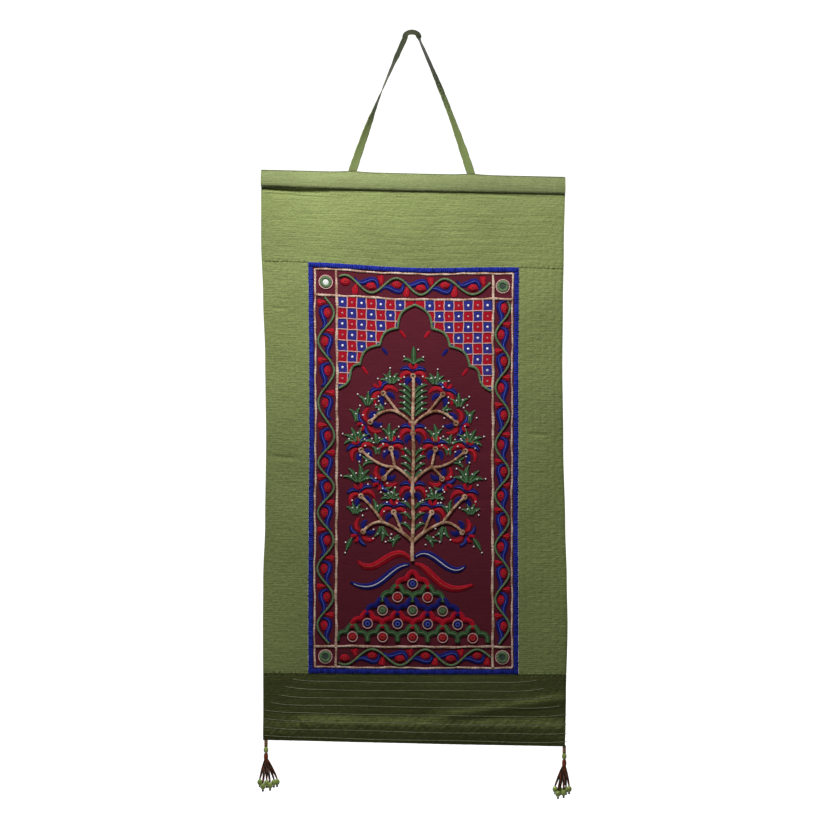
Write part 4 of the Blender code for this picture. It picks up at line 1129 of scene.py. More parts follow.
class FrameLinesOperator(Operator):
    """Couch the peach frame lines"""

    bl_idname = "wall_hanging.frame_lines"
    bl_label = "Frame Lines"

    def execute(self, context):
        left, right = LEFT_SEAM + FRAME_OUTER_IN, RIGHT_SEAM - FRAME_OUTER_IN
        top, bottom = TOP_SEAM + FRAME_OUTER_IN, BOTTOM_SEAM - FRAME_OUTER_IN
        lines = {
            "outer_left": ((left, top), (left, bottom), 0.0014),
            "outer_right": ((right, top), (right, bottom), 0.0014),
            "outer_top": ((left, top), (right, top), 0.0015),
            "outer_bottom": ((left, bottom), (right, bottom), 0.0015),
            "inner_left": ((INNER_LEFT, top), (INNER_LEFT, bottom), 0.0020),
            "inner_right": ((INNER_RIGHT, top), (INNER_RIGHT, bottom), 0.0020),
            "inner_top": ((left, INNER_TOP), (right, INNER_TOP), 0.0018),
            "inner_bottom": ((left, INNER_BOTTOM), (right, INNER_BOTTOM), 0.0018),
        }
        for order, (name, (start, end, radius)) in enumerate(lines.items()):
            start, end = np.array(start), np.array(end)
            length = np.linalg.norm(end - start)
            share = np.linspace(0.0, 1.0, int(length / 0.0008))[:, None]
            way = (end - start) / length
            waver = 0.0005 * np.sin(share * length * 62.0 + order)
            waver = waver + 0.0003 * np.sin(share * length * 171.0 + order)
            line = start + (end - start) * share + np.array([way[1], way[0]]) * waver
            upright = "left" in name or "right" in name
            lift = 0.0006 if upright and "inner" in name else 0.0001
            swell = 1.0 + 0.13 * np.sin(share[:, 0] * length * 93.0 + order)
            swell = swell + 0.10 * np.sin(share[:, 0] * length * 231.0 + 2.0 * order)
            piece = laid("couched_" + name, line[None], radius * swell[None], lift, flat=0.62,
                         twist=0.10, twist_pitch=0.0056, sides=10)
            fit(piece, "peach", "peach_thread", "frame_" + name)
        return {"FINISHED"}


def lanes():
    """The four borders: name, start and end of the vine along it, its two lines, period, phase, how far the
    middle turns slip along it, where, over what reach, and whether it is upright."""
    down = (INNER_TOP + VINE_END_CLEARANCE, INNER_BOTTOM - VINE_END_CLEARANCE)
    across = (INNER_LEFT + VINE_END_CLEARANCE, INNER_RIGHT - VINE_END_CLEARANCE)
    left, right = LEFT_SEAM + FRAME_OUTER_IN, RIGHT_SEAM - FRAME_OUTER_IN
    top, bottom = TOP_SEAM + FRAME_OUTER_IN, BOTTOM_SEAM - FRAME_OUTER_IN
    return (
        ("left", down, (left, INNER_LEFT), 0.0905, -0.14, (0.0150, 0.429, 0.075), True),
        ("right", down, (INNER_RIGHT, right), 0.0854, 0.80, (0.0085, 0.458, 0.062), True),
        ("top", across, (top, INNER_TOP), 0.0824, 3.97, (-0.0060, 0.052, 0.045), False),
        ("bottom", across, (INNER_BOTTOM, bottom), 0.0846, 0.87, (0.0035, -0.02, 0.05), False),
    )


def slipped(spot, slip):
    """How far a vine's wave slips along its border at an array of spots: a bell round the slip's middle."""
    amount, middle, reach = slip
    return amount * np.exp(-(((spot - middle) / reach) ** 2))


class VinesOperator(Operator):
    """Lay the meander vines, with a flower, a curled leaf and a bud at each turn"""

    bl_idname = "wall_hanging.vines"
    bl_label = "Border Vines"

    def execute(self, context):
        flowers, leaves, short_leaves, buds = [], [], [], []
        for name, (start, end), (low, high), period, phase, slip, upright in lanes():
            middle = (low + high) / 2.0
            half_lane = (high - low) / 2.0 - FRAME_LINE_HALF
            room = min(half_lane - VINE_RADIUS - 0.0004, VINE_SWING)
            spot = spaced(start, end, 0.0011)
            angle = 2.0 * np.pi * (spot - start - slipped(spot, slip)) / period + phase
            swing = middle + room * np.sin(angle)
            line = np.stack([swing, spot] if upright else [spot, swing], axis=-1)
            piece = laid("meander_" + name, line[None], VINE_RADIUS, 0.0006, twist=0.12,
                         twist_pitch=0.005, sides=10)
            fit(piece, "vine", "green_thread", "vine_" + name)
            turns = np.arange(-2, 2 * int((end - start) / period) + 5)
            even = start + ((turns + 0.5) * np.pi - phase) * period / (2.0 * np.pi)
            at = even + slipped(even + slipped(even, slip), slip)
            side = np.where(turns % 2 == 0, 1.0, -1.0)
            keep = (at > start - 0.006) & (at < end + 0.006)
            at, side = at[keep], side[keep]
            travel = -1.0 if upright else 1.0
            order = (0, 1) if upright else (1, 0)
            limit = half_lane - 0.0008

            def spots(*shape):
                """Points at each turn, from millimetres along the border and away from the vine's side."""
                shape = np.array(shape) * MILLIMETRE
                outward = np.broadcast_to(shape[:, 1], (len(at), len(shape)))
                along = at[:, None] + travel * shape[None, :, 0]
                return np.stack([middle - side[:, None] * outward, along], axis=-1)[..., order]

            def inside(curves, reach):
                """Curves that stay between the ends of the border."""
                line = curve_points(curves, 9)[1]
                run = line[..., order[1]]
                return curves[(run.min(axis=1) > start - reach) & (run.max(axis=1) < end + reach)]

            squeeze = limit / 0.0166
            full = spots((-25.6, 10.4 * squeeze), (-17.5, -15.3 * squeeze), (9.5, 30.7 * squeeze),
                         (11.6, -8.4 * squeeze))
            short = spots((-13.0, 2.0 * squeeze), (-9.0, -1.0), (8.5, 27.0 * squeeze), (11.6, -8.4 * squeeze))
            leaves.append(inside(full, 0.0015))
            short_leaves.append(inside(short, 0.0015))
            flowers.append(inside(spots((-7.4, -3.4), (-3.0, -1.6), (3.0, -1.6), (7.2, -3.6)), 0.0005))
            buds.append(inside(spots((15.0, 15.2 * squeeze), (15.8, 9.0), (16.8, 4.0), (17.8, -1.8)), 0.0010))
        leaves, flowers, buds = (np.concatenate(each) for each in (leaves, flowers, buds))
        short_leaves = np.concatenate(short_leaves)
        ends = leaves[:, 3]
        lone = np.linalg.norm(short_leaves[:, None, 3] - ends[None], axis=-1).min(axis=1) > 0.001
        curled = np.concatenate([leaves, short_leaves[lone]])
        fit(satin("border_leaves", curled, 0.0049, 0.0014, 0.0004, full=1.0, tip=0.50, stations=30, lanes=9),
            "motif_blue", "blue_thread")
        strands = curve_points(curled, 26)[1]
        taper = 0.0006 * np.sin(np.linspace(0.15, np.pi - 0.15, 22)) ** 0.5
        fit(laid("border_leaf_strands", strands[:, 2:-2], taper[None], 0.0014, sides=6),
            "light_blue", "blue_thread")
        fit(satin("border_flowers", flowers, 0.0062, 0.0016, 0.0010, tip=0.5, stations=16, lanes=11),
            "red", "peach_thread")
        fit(satin("border_buds", buds, 0.0058, 0.0012, 0.0005, full=0.45, tip=0.8, stations=14, lanes=9),
            "red", "peach_thread")
        eyes = flowers.mean(axis=1)
        fit(laid("border_flower_eyes", rings(eyes, 0.0024, 12), 0.0006, 0.0026, sides=6, closed=True),
            "orange", "peach_thread")
        hearts = curve_points(buds, 8)[1]
        fit(laid("border_bud_hearts", hearts[:, 1:6], 0.0007, 0.0016, sides=6), "orange",
            "peach_thread")
        return {"FINISHED"}


class MirrorsOperator(Operator):
    """Set a round mirror with its stitched collars in each corner square"""

    bl_idname = "wall_hanging.mirrors"
    bl_label = "Corner Mirrors"

    def execute(self, context):
        left = (LEFT_SEAM + FRAME_OUTER_IN + INNER_LEFT) / 2.0
        right = (RIGHT_SEAM - FRAME_OUTER_IN + INNER_RIGHT) / 2.0
        top = (TOP_SEAM + FRAME_OUTER_IN + INNER_TOP) / 2.0
        bottom = (BOTTOM_SEAM - FRAME_OUTER_IN + INNER_BOTTOM) / 2.0
        corners = {
            "top_left": (left, top), "top_right": (right, top),
            "bottom_left": (left, bottom), "bottom_right": (right, bottom),
        }
        for corner, spot in corners.items():
            spot = np.array([spot])
            disc = domes("mirror_disc_" + corner, spot, MIRROR_RADIUS, 0.0009, 0.0006, rows=9, lanes=32)
            # The top left mirror is pale: painted glare; the others are dark
            glass = "mirror" if corner == "top_left" else "dark_mirror"
            fit(disc, glass, "mirror_disc", "mirror_" + corner)
            outer = laid("mirror_collar_" + corner, rings(spot, COLLAR_RADIUS, 56), 0.0009, 0.0002,
                         twist=0.12, twist_pitch=0.0048, sides=10, closed=True)
            fit(outer, "pale", "collar_thread", "collar_" + corner)
            inner = laid("mirror_band_" + corner, rings(spot, MIRROR_BAND_RADIUS, 48), 0.0024, 0.0002,
                         flat=0.55, twist=0.06, twist_pitch=0.0030, sides=12, closed=True)
            fit(inner, "vine", "green_thread")
        return {"FINISHED"}


class NicheOperator(Operator):
    """Couch the cusped niche and its hanging stitches"""

    bl_idname = "wall_hanging.niche"
    bl_label = "Niche"

    def execute(self, context):
        half = niche_half(26)
        left = np.stack([MIDDLE - half[:, 0], NICHE_FOOT - half[:, 1]], axis=-1)
        right = np.stack([MIDDLE + half[::-1, 0], NICHE_FOOT - half[::-1, 1]], axis=-1)[1:]
        piece = laid("cusped_niche", np.concatenate([left, right])[None], NICHE_CORD_RADIUS, 0.0004,
                     flat=0.75, twist=0.10, twist_pitch=0.006, sides=10)
        fit(piece, "vine", "green_thread", "niche_cord")
        cusps = np.array(CUSPS)[2:5, :2]
        tones = []
        for colour, chosen in (("red", cusps[[0, 2]]), ("motif_blue", cusps[[1]])):
            for side in (-1.0, 1.0):
                share = np.array([0.0, 0.33, 0.67, 1.0])[None, :]
                across = MIDDLE + side * (chosen[:, :1] - 0.0034 - 0.0088 * share)
                down = NICHE_FOOT - chosen[:, 1:] + 0.0036 + 0.0112 * share
                tones.append((colour, np.stack([across, down], axis=-1)))
        for number, (colour, curves) in enumerate(tones):
            patch = satin("niche_stitch_" + str(number + 1), curves, 0.0031, 0.0009, 0.0003, tip=0.35,
                          stations=10)
            fit(patch, colour, "peach_thread")
        return {"FINISHED"}


class SpandrelsOperator(Operator):
    """Fill the two spandrels with checks, their pale lines and their sequins"""

    bl_idname = "wall_hanging.spandrels"
    bl_label = "Checked Spandrels"

    def execute(self, context):
        widest = (INNER_RIGHT - INNER_LEFT) / 2.0 - CHECK_MARGIN
        top = INNER_TOP + CHECK_MARGIN
        step = CHECK_STEP
        for side, sign in (("left", -1.0), ("right", 1.0)):
            out = np.arange(0.0, widest, step)
            below = np.arange(0.0, NICHE_FOOT - top + 0.002, step)
            aside, drop = np.meshgrid(out, below)
            across = MIDDLE + sign * (widest - aside)
            down = top + drop
            inside = drop < NICHE_FOOT - top - niche_height(widest - aside) + 0.0008
            u, v = aside / CHECK_ACROSS, drop / CHECK_DOWN
            pillow = np.abs(np.sin(np.pi * u) * np.sin(np.pi * v)) ** 0.30
            x, z = hang(across, down)
            points = np.stack([x, centre_front(across, down) - 0.0002 - 0.0010 * pillow, z], axis=-1)
            tone = (np.floor(u + 0.01) + np.floor(v + 0.01) + 1) % 2
            quads = grid_quads(len(below), len(out))
            quads = quads[inside.ravel()[quads].all(axis=1)]
            if sign > 0:
                quads = quads[:, ::-1]
            used, faces = np.unique(quads, return_inverse=True)
            uv = np.stack([across, -down], axis=-1).reshape(-1, 2)[used]
            patch = make_mesh("checks_" + side, points.reshape(-1, 3)[used], [faces.reshape(quads.shape)], uv,
                              tone.ravel()[used])
            body = patch.modifiers.new("Thread thickness", "SOLIDIFY")
            body.thickness = 0.0002
            body.offset = -1.0
            fit(patch, "check", "blue_thread")
            share = np.linspace(0.0, 1.0, 70)
            uprights = np.arange(1, 8) * CHECK_ACROSS
            ends = NICHE_FOOT - top - niche_height(widest - uprights)
            rows = np.arange(1, 9) * CHECK_DOWN
            half = niche_half(12)
            reach = widest - np.interp(NICHE_FOOT - top - rows, half[:, 1], half[:, 0])
            columns = np.stack([
                np.broadcast_to(MIDDLE + sign * (widest - uprights[:, None]), (len(uprights), len(share))),
                top + ends[:, None] * share,
            ], axis=-1)
            levels = np.stack([
                MIDDLE + sign * (widest - reach[:, None] * share),
                np.broadcast_to(top + rows[:, None], (len(rows), len(share))),
            ], axis=-1)
            lines = np.concatenate([columns[ends > 0.004], levels[reach > 0.004]])
            waver = 0.0004 * np.sin(share * 23.0 + np.arange(len(lines))[:, None] * 1.7)
            lines = lines + waver[..., None] * np.array([1.0, 0.6])
            fit(laid("check_lines_" + side, lines, 0.00085, 0.0007, twist=0.12, twist_pitch=0.0036,
                     sides=7), "pale", "collar_thread")
            cell_u, cell_v = np.meshgrid(np.arange(7) + 0.5, np.arange(9) + 0.5)
            spot_out, spot_drop = cell_u.ravel() * CHECK_ACROSS, cell_v.ravel() * CHECK_DOWN
            room = NICHE_FOOT - top - niche_height(widest - spot_out - 0.003) - spot_drop
            keep = room > 0.005
            blue = (np.floor(cell_u.ravel()) + np.floor(cell_v.ravel())) % 2 == 0
            spots = np.stack([MIDDLE + sign * (widest - spot_out), top + spot_drop], axis=-1)
            fit(domes("check_sequins_" + side, spots[keep & blue], 0.0021, 0.0009, 0.0012),
                "white_bead", "mirror_disc")
            fit(domes("check_knots_" + side, spots[keep & ~blue], 0.0017, 0.0009, 0.0012),
                "pink_knot", "peach_thread")
        return {"FINISHED"}


def flower_curves(tips, leans, sides, points):
    """A petal's curve and its twin's on every flower, turned by the flower's lean and set at its tip."""
    shape = np.array([points]) * MILLIMETRE
    lean = np.radians(leans) * sides
    twins = np.concatenate([shape, shape * np.array([-1.0, 1.0])])
    aside, above = twins[..., 0], twins[..., 1]
    cosine, sine = np.cos(lean)[:, None, None], np.sin(lean)[:, None, None]
    across = tips[:, 0][:, None, None] + aside * cosine + above * sine
    down = tips[:, 1][:, None, None] - (above * cosine - aside * sine)
    return np.stack([across, down], axis=-1)


def leaf(start, reach, bend, further):
    """The four points of each leaf's middle line, bent aside at a third and a further share of its reach."""
    near, far = start + reach * 0.33 + bend, start + reach * further + bend
    return np.stack([start, near, far, start + reach], axis=1)


class TreeOperator(Operator):
    """Work the tree: trunk, boughs, flowers, leaves and seed beads"""

    bl_idname = "wall_hanging.tree"
    bl_label = "Tree"

    def execute(self, context):
        roots, branches = np.array(TIERS), np.array(BRANCHES)
        spot = spaced(TRUNK_TOP, TRUNK_FOOT, 0.0010)
        sway = TREE_ACROSS + 0.0008 * np.sin(spot * 60.0)
        girth = 0.0026 + 0.0004 * (spot - TRUNK_TOP) / (TRUNK_FOOT - TRUNK_TOP)
        girth = girth + 0.0002 * np.sin(spot * 190.0)
        trunk = laid("tree_stem", np.stack([sway, spot], axis=-1)[None], girth[None], 0.0012, flat=0.6,
                     twist=0.08, twist_pitch=0.0070, sides=10)
        fit(trunk, "bough", "peach_thread", "tree_trunk")
        curves, tips, leans, sides = [], [], [], []
        for side in (-1.0, 1.0):
            root = roots[branches[:, 0].astype(int)]
            base = np.stack([np.full(len(root), TREE_ACROSS + side * 0.0010), root], axis=-1)
            fork = np.stack([TREE_ACROSS + side * branches[:, 1], root - branches[:, 2]], axis=-1)
            first = np.unique(np.concatenate([base, fork], axis=1), axis=0)
            base_once, fork_once = first[:, :2], first[:, 2:]
            curves.append(np.stack([base_once, base_once + (fork_once - base_once) * np.array([0.22, 0.34]),
                                    base_once + (fork_once - base_once) * np.array([0.60, 0.80]), fork_once],
                                   axis=1))
            tip = np.stack([TREE_ACROSS + side * branches[:, 3], root - branches[:, 4]], axis=-1)
            arch = np.stack([np.zeros(len(tip)), -branches[:, 5]], axis=-1)
            curves.append(np.stack([fork, fork + (tip - fork) * 0.33 + arch * 1.3,
                                    fork + (tip - fork) * 0.70 + arch, tip], axis=1))
            tips.append(tip + side * np.array([0.0006, 0.0]) * np.sin(np.arange(len(tip)) * 2.3)[:, None])
            leans.append(branches[:, 6] + side * 3.0 * np.sin(np.arange(len(tip)) * 1.7))
            sides.append(np.full(len(tip), side))
        crown = np.array([[TREE_ACROSS, TRUNK_TOP - 0.0010]])
        lotus = np.stack([np.full(2, TREE_ACROSS - 0.0004), roots[1:] + 0.0150], axis=-1)
        upright = np.zeros(3)
        tips = np.concatenate(tips + [crown, lotus])
        leans = np.concatenate(leans + [upright])
        sides = np.concatenate(sides + [upright + 1.0])
        curves = np.concatenate(curves)
        lines = curve_points(curves, 44)[1]
        share = np.linspace(0.0, 1.0, 44)
        taper = 0.0025 - 0.0004 * np.sin(np.pi * share) + 0.0001 * np.sin(share * 40.0)
        fit(laid("boughs", lines, np.broadcast_to(taper, lines.shape[:2]), 0.0011, flat=0.6, twist=0.08,
                 twist_pitch=0.0070, sides=9), "bough", "peach_thread")
        for number, (colour, *points, width) in enumerate(PETALS):
            key = "motif_blue" if colour == "blue" else colour
            petals = flower_curves(tips, leans, sides, points)
            patch = satin("petals_" + str(number + 1), petals.reshape(-1, 4, 2), width * MILLIMETRE, 0.0010,
                          0.0003 + 0.0002 * number, full=0.9, tip=0.55, stations=16)
            fit(patch, key, "peach_thread" if colour == "red" else "blue_thread")
        fit(laid("bough_knots", rings(tips, 0.0032, 20), 0.0015, 0.0015, twist=0.1,
                 twist_pitch=0.004, sides=8, closed=True), "bough", "peach_thread")
        fit(domes("knot_eyes", tips, 0.0019, 0.0009, 0.0017), "strand", "tassel_thread")
        self.add_leaves(roots)
        return {"FINISHED"}

    def add_leaves(self, tiers):
        """Leaves in sprigs beside the boughs and in pairs up the trunk, with their veins and seed beads."""
        leaves, beads = [], []
        for side in (-1.0, 1.0):
            for number, (tier, reach, rise, lean, spread, count, length) in enumerate(SPRIGS):
                root = np.array([TREE_ACROSS + side * reach, tiers[tier] - rise])
                place = np.linspace(-1.0, 1.0, count) if count > 1 else np.zeros(1)
                turn = np.radians(place * spread + lean + 5.0 * math.sin(number * 2.0 + side)) * side
                way = np.stack([np.sin(turn), -np.cos(turn)], axis=-1)
                across = np.array([math.cos(math.radians(lean) * side), math.sin(math.radians(lean) * side)])
                start = root + across * place[:, None] * side * 0.0022 + way * 0.0010
                curl = np.where(place == 0.0, math.sin(number * 1.3), place) * side
                bend = np.stack([-way[:, 1], way[:, 0]], axis=-1) * 0.17 * length * curl[:, None]
                reach_out = length * (1.0 - 0.22 * np.abs(place[:, None]))
                leaves.append(leaf(start, way * reach_out, -bend, 0.70))
                beads.append((start + way * (reach_out + 0.0036))[::2])
                aside = np.stack([-way[:, 1], way[:, 0]], axis=-1)
                beads.append(start + way * reach_out * 0.5 + aside * 0.0062)
            for tier, lowest, pitch, count, length in TRUNK_LEAVES:
                level = tiers[tier] - lowest - pitch * np.arange(count)
                start = np.stack([np.full(count, TREE_ACROSS + side * 0.0036), level], axis=-1)
                way = np.array([side * 0.84, -0.54])
                bend = np.array([-side * 0.0016, -0.0034])
                leaves.append(leaf(start, way * length, bend, 0.70))
                beads.append(start + way * length * 0.62 - np.array([side * 0.0014, 0.0052]))
        top = np.array([[TREE_ACROSS + 0.0010, TRUNK_TOP - 0.0205]])
        for turn, length, bow in ((-1.25, 0.0175, -0.0050), (0.0, 0.0290, 0.0), (1.25, 0.0175, 0.0050)):
            way = np.array([[math.sin(turn), -math.cos(turn)]])
            bend = np.array([[bow * 0.3, -abs(bow)]])
            leaves.append(leaf(top, way * length, bend, 0.75))
            beads.append(top + way * length * 0.5 + np.array([[0.0070 if bow >= 0.0 else -0.0070, -0.0090]]))
        leaves, beads = np.concatenate(leaves), np.concatenate(beads)
        widths = 0.0022 + np.linalg.norm(leaves[:, 3] - leaves[:, 0], axis=-1) * 0.085
        fit(satin("leaves", leaves, widths, 0.0011, 0.0005, full=0.85, tip=0.65, stations=14),
            "green", "green_thread")
        veins = curve_points(leaves, 12)[1]
        fit(laid("leaf_veins", veins, 0.00075, 0.0014, sides=5), "light_green", "green_thread")
        fit(domes("seed_beads", beads, 0.0015, 0.0012, 0.0014, 5, 10), "white_bead", "mirror_disc")


class RibbonsOperator(Operator):
    """Work the four ribbons at the foot of the tree"""

    bl_idname = "wall_hanging.ribbons"
    bl_label = "Ribbons"

    def execute(self, context):
        root = np.array([TREE_ACROSS - 0.0012, TRUNK_FOOT])
        for number, (colour, *points) in enumerate(RIBBONS):
            curve = np.array(points)[None] * MILLIMETRE + root
            key = "motif_blue" if colour == "blue" else "red"
            name = "ribbon_" + str(number + 1)
            patch = satin(name, curve, 0.0064, 0.0018, 0.0003, full=1.0, tip=0.30, stations=60, lanes=9)
            fit(patch, key, "blue_thread" if colour == "blue" else "peach_thread")
            lines = curve_points(curve, 90)[1]
            taper = 0.0009 * np.sin(np.linspace(0.05, np.pi - 0.05, 84)) ** 0.3
            core = laid(name + "_core", lines[:, 3:-3], taper[None], 0.0018, twist=0.1, sides=8)
            fit(core, "white_thread" if colour == "blue" else "orange", "collar_thread")
        return {"FINISHED"}


def trefoil(count):
    """Outline of one scale of the mound, from its left foot over three lobes to its right foot."""
    feet = np.array([[-0.0238, -0.0075], [-0.0098, 0.0075], [0.0098, 0.0075], [0.0238, -0.0075]])
    swell = np.array([0.0062, 0.0118, 0.0062])
    share = np.linspace(0.0, 1.0, count, endpoint=False)
    run = np.diff(feet, axis=0)
    length = np.linalg.norm(run, axis=1)
    bow = swell[:, None] * np.sin(np.pi * share) ** 0.8
    aside = feet[:-1, 0][:, None] + run[:, 0][:, None] * share - bow * (run[:, 1] / length)[:, None]
    above = feet[:-1, 1][:, None] + run[:, 1][:, None] * share + bow * (run[:, 0] / length)[:, None]
    return np.concatenate([np.stack([aside.ravel(), above.ravel()], axis=-1), feet[-1:]])


class MoundOperator(Operator):
    """Work the mound of scales with a rosette in each"""

    bl_idname = "wall_hanging.mound"
    bl_label = "Mound"

    def execute(self, context):
        outline = trefoil(18)
        threads = {"green": "green", "red": "red", "blue": "motif_blue"}
        cores = {"green": "vine", "red": "red", "blue": "motif_blue"}
        for number, (count, colour, rosette) in enumerate(MOUND):
            across = TREE_ACROSS + (np.arange(count) - (count - 1) / 2.0) * MOUND_ACROSS
            centres = np.stack([across, np.full(count, MOUND_FOOT_ROW - number * MOUND_UP)], axis=-1)
            centres[:, 1] += 0.0016 * np.maximum(0.0, across / 0.1)
            lines = centres[:, None, :] + outline[None] * np.array([1.0, -1.0])
            name = "scales_" + str(number + 1)
            slot = "green_thread" if colour == "green" else "blue_thread"
            fit(laid(name, lines, 0.0042, 0.0002 + 0.0002 * number, flat=0.30, twist=0.05, twist_pitch=0.003,
                     sides=10), threads[colour], slot)
            fit(laid(name + "_cord", lines, 0.0010, 0.0020, twist=0.1, sides=7),
                cores[colour], slot)
            name = "rosettes_" + str(number + 1)
            fit(laid(name + "_ring", rings(centres, 0.0077, 36), 0.0008, 0.0012, twist=0.1, sides=8,
                     closed=True), "pale", "collar_thread")
            fit(domes(name, centres, 0.0064, 0.0014, 0.0012, rows=8, lanes=24), cores[rosette], slot)
            fit(laid(name + "_eye", rings(centres, 0.0030, 18), 0.0008, 0.0020, sides=6, closed=True),
                {"green": "light_green", "red": "orange", "blue": "light_blue"}[rosette],
                slot)
        return {"FINISHED"}


def hanger_path():
    """Middle line of the tape and its turn: up the left leg, over the bend, and down the right leg."""
    legs = []
    sewn = (
        (LEFT_FOOT_ACROSS, LEFT_LEG_TOP, LEFT_LEG_TURN),
        (RIGHT_FOOT_ACROSS, RIGHT_LEG_TOP, RIGHT_LEG_TURN),
    )
    for foot, top_across, turns in sewn:
        side = math.copysign(1.0, foot)
        down = np.array([0.020, 0.010, 0.0])
        x, z = hang(np.full(3, foot), down)
        y = rest_depth(np.full(3, foot), down) + PANEL_THICKNESS + 0.0005 + TAPE_THICKNESS / 2.0
        feet = np.stack([x, y, z], axis=-1)
        share = np.linspace(0.0, 1.0, 90)[:, None]
        leave = feet[-1] + np.array([-LEG_INSET * side, 0.0, FOOT_LIFT])
        top = np.array([top_across, 0.0, -LEG_TOP_BELOW])
        leg = leave + (top - leave) * share
        leg[:, 0] += side * LEG_BOW * np.sin(np.pi * share[:, 0])
        turn = np.r_[np.zeros(3), np.radians(column(turns, -leg[:, 2], 1))]
        legs.append((np.concatenate([feet, leg]), turn))
    rise = TAPE_WIDTH / 2.0 * math.sin(math.radians(BEND_TURN))
    angle = np.pi - np.linspace(0.0, np.pi, 26)[1:-1]
    middle = (LEFT_LEG_TOP + RIGHT_LEG_TOP) / 2.0
    bend = np.stack([middle + (RIGHT_LEG_TOP - middle) * np.cos(angle), np.zeros_like(angle),
                     (rise + LEG_TOP_BELOW) * np.sin(angle) ** BEND_FULLNESS - LEG_TOP_BELOW], axis=-1)
    spots = np.concatenate([legs[0][0], bend, legs[1][0][::-1]])
    over = np.full(len(bend), math.radians(BEND_TURN))
    turns = np.concatenate([legs[0][1], over, np.pi - legs[1][1][::-1]])
    return spots, turns


class HangerOperator(Operator):
    """Build the twisted tape hanger and the stitches of its feet"""

    bl_idname = "wall_hanging.hanger"
    bl_label = "Tape Hanger"

    def execute(self, context):
        spots, turns = hanger_path()
        way = np.gradient(spots, axis=0)
        way /= np.linalg.norm(way, axis=-1, keepdims=True)
        level = np.stack([way[:, 2], np.zeros(len(way)), -way[:, 0]], axis=-1)
        level /= np.linalg.norm(level, axis=-1, keepdims=True)
        wide = level * np.cos(turns)[:, None] + np.array([0.0, 1.0, 0.0]) * np.sin(turns)[:, None]
        through = np.cross(wide, way)
        through /= np.linalg.norm(through, axis=-1, keepdims=True)
        t = np.linspace(-1.0, 1.0, 13)
        fold = 0.62 + 0.38 * np.exp(-(((np.abs(t) - 0.72) / 0.16) ** 2))
        fold[[0, -1]] = 0.25
        run = np.concatenate([[0.0], np.cumsum(np.linalg.norm(np.diff(spots, axis=0), axis=-1))])
        drawn = 1.0 + 0.03 * np.sin(run * 240.0) + 0.02 * np.sin(run * 520.0)
        reach = wide[:, None, :] * (t[None, :] * TAPE_WIDTH / 2.0 * drawn[:, None])[..., None]
        deep = through[:, None, :] * (fold * TAPE_THICKNESS / 2.0)[None, :, None]
        flat = spots[:, None] + reach
        loop = np.concatenate([flat + deep, (flat - deep)[:, ::-1]], axis=1)
        rows, lanes_round = loop.shape[:2]
        row = np.arange(rows - 1)[:, None] * lanes_round
        lane = np.arange(lanes_round)[None, :]
        ahead = (lane + 1) % lanes_round
        under = row + lanes_round
        quads = np.stack([row + lane, under + lane, under + ahead, row + ahead], axis=-1)
        across = np.concatenate([t, t[::-1]]) * TAPE_WIDTH / 2.0
        uv = np.stack(np.broadcast_arrays(across[None, :], run[:, None]), axis=-1).reshape(-1, 2)
        round_once = np.arange(lanes_round)[None, :]
        caps = [round_once, (rows - 1) * lanes_round + round_once[:, ::-1]]
        piece = make_mesh("silk_tape_hanger", loop.reshape(-1, 3), [quads.reshape(-1, 4)] + caps, uv)
        fit(piece, "tape", "silk_tape", "hanger_tape")
        for name, foot in (("left", LEFT_FOOT_ACROSS), ("right", RIGHT_FOOT_ACROSS)):
            across = foot + np.linspace(-0.0048, 0.0036, 4)
            x, z = hang(across, np.zeros(4))
            y = rest_depth(across, 0.0) + PANEL_THICKNESS + 0.0003
            centre = np.stack([x, y, z + 0.0032], axis=-1)
            reach = np.linspace(0.0, 0.0016, 3)[None, :, None]
            line = centre[:, None, :] + reach * np.array([1.0, 0.0, 0.0])
            fit(tubes("foot_stitches_" + name, line, 0.00035, sides=6), "pink_stitch", "silk_tape")
        return {"FINISHED"}


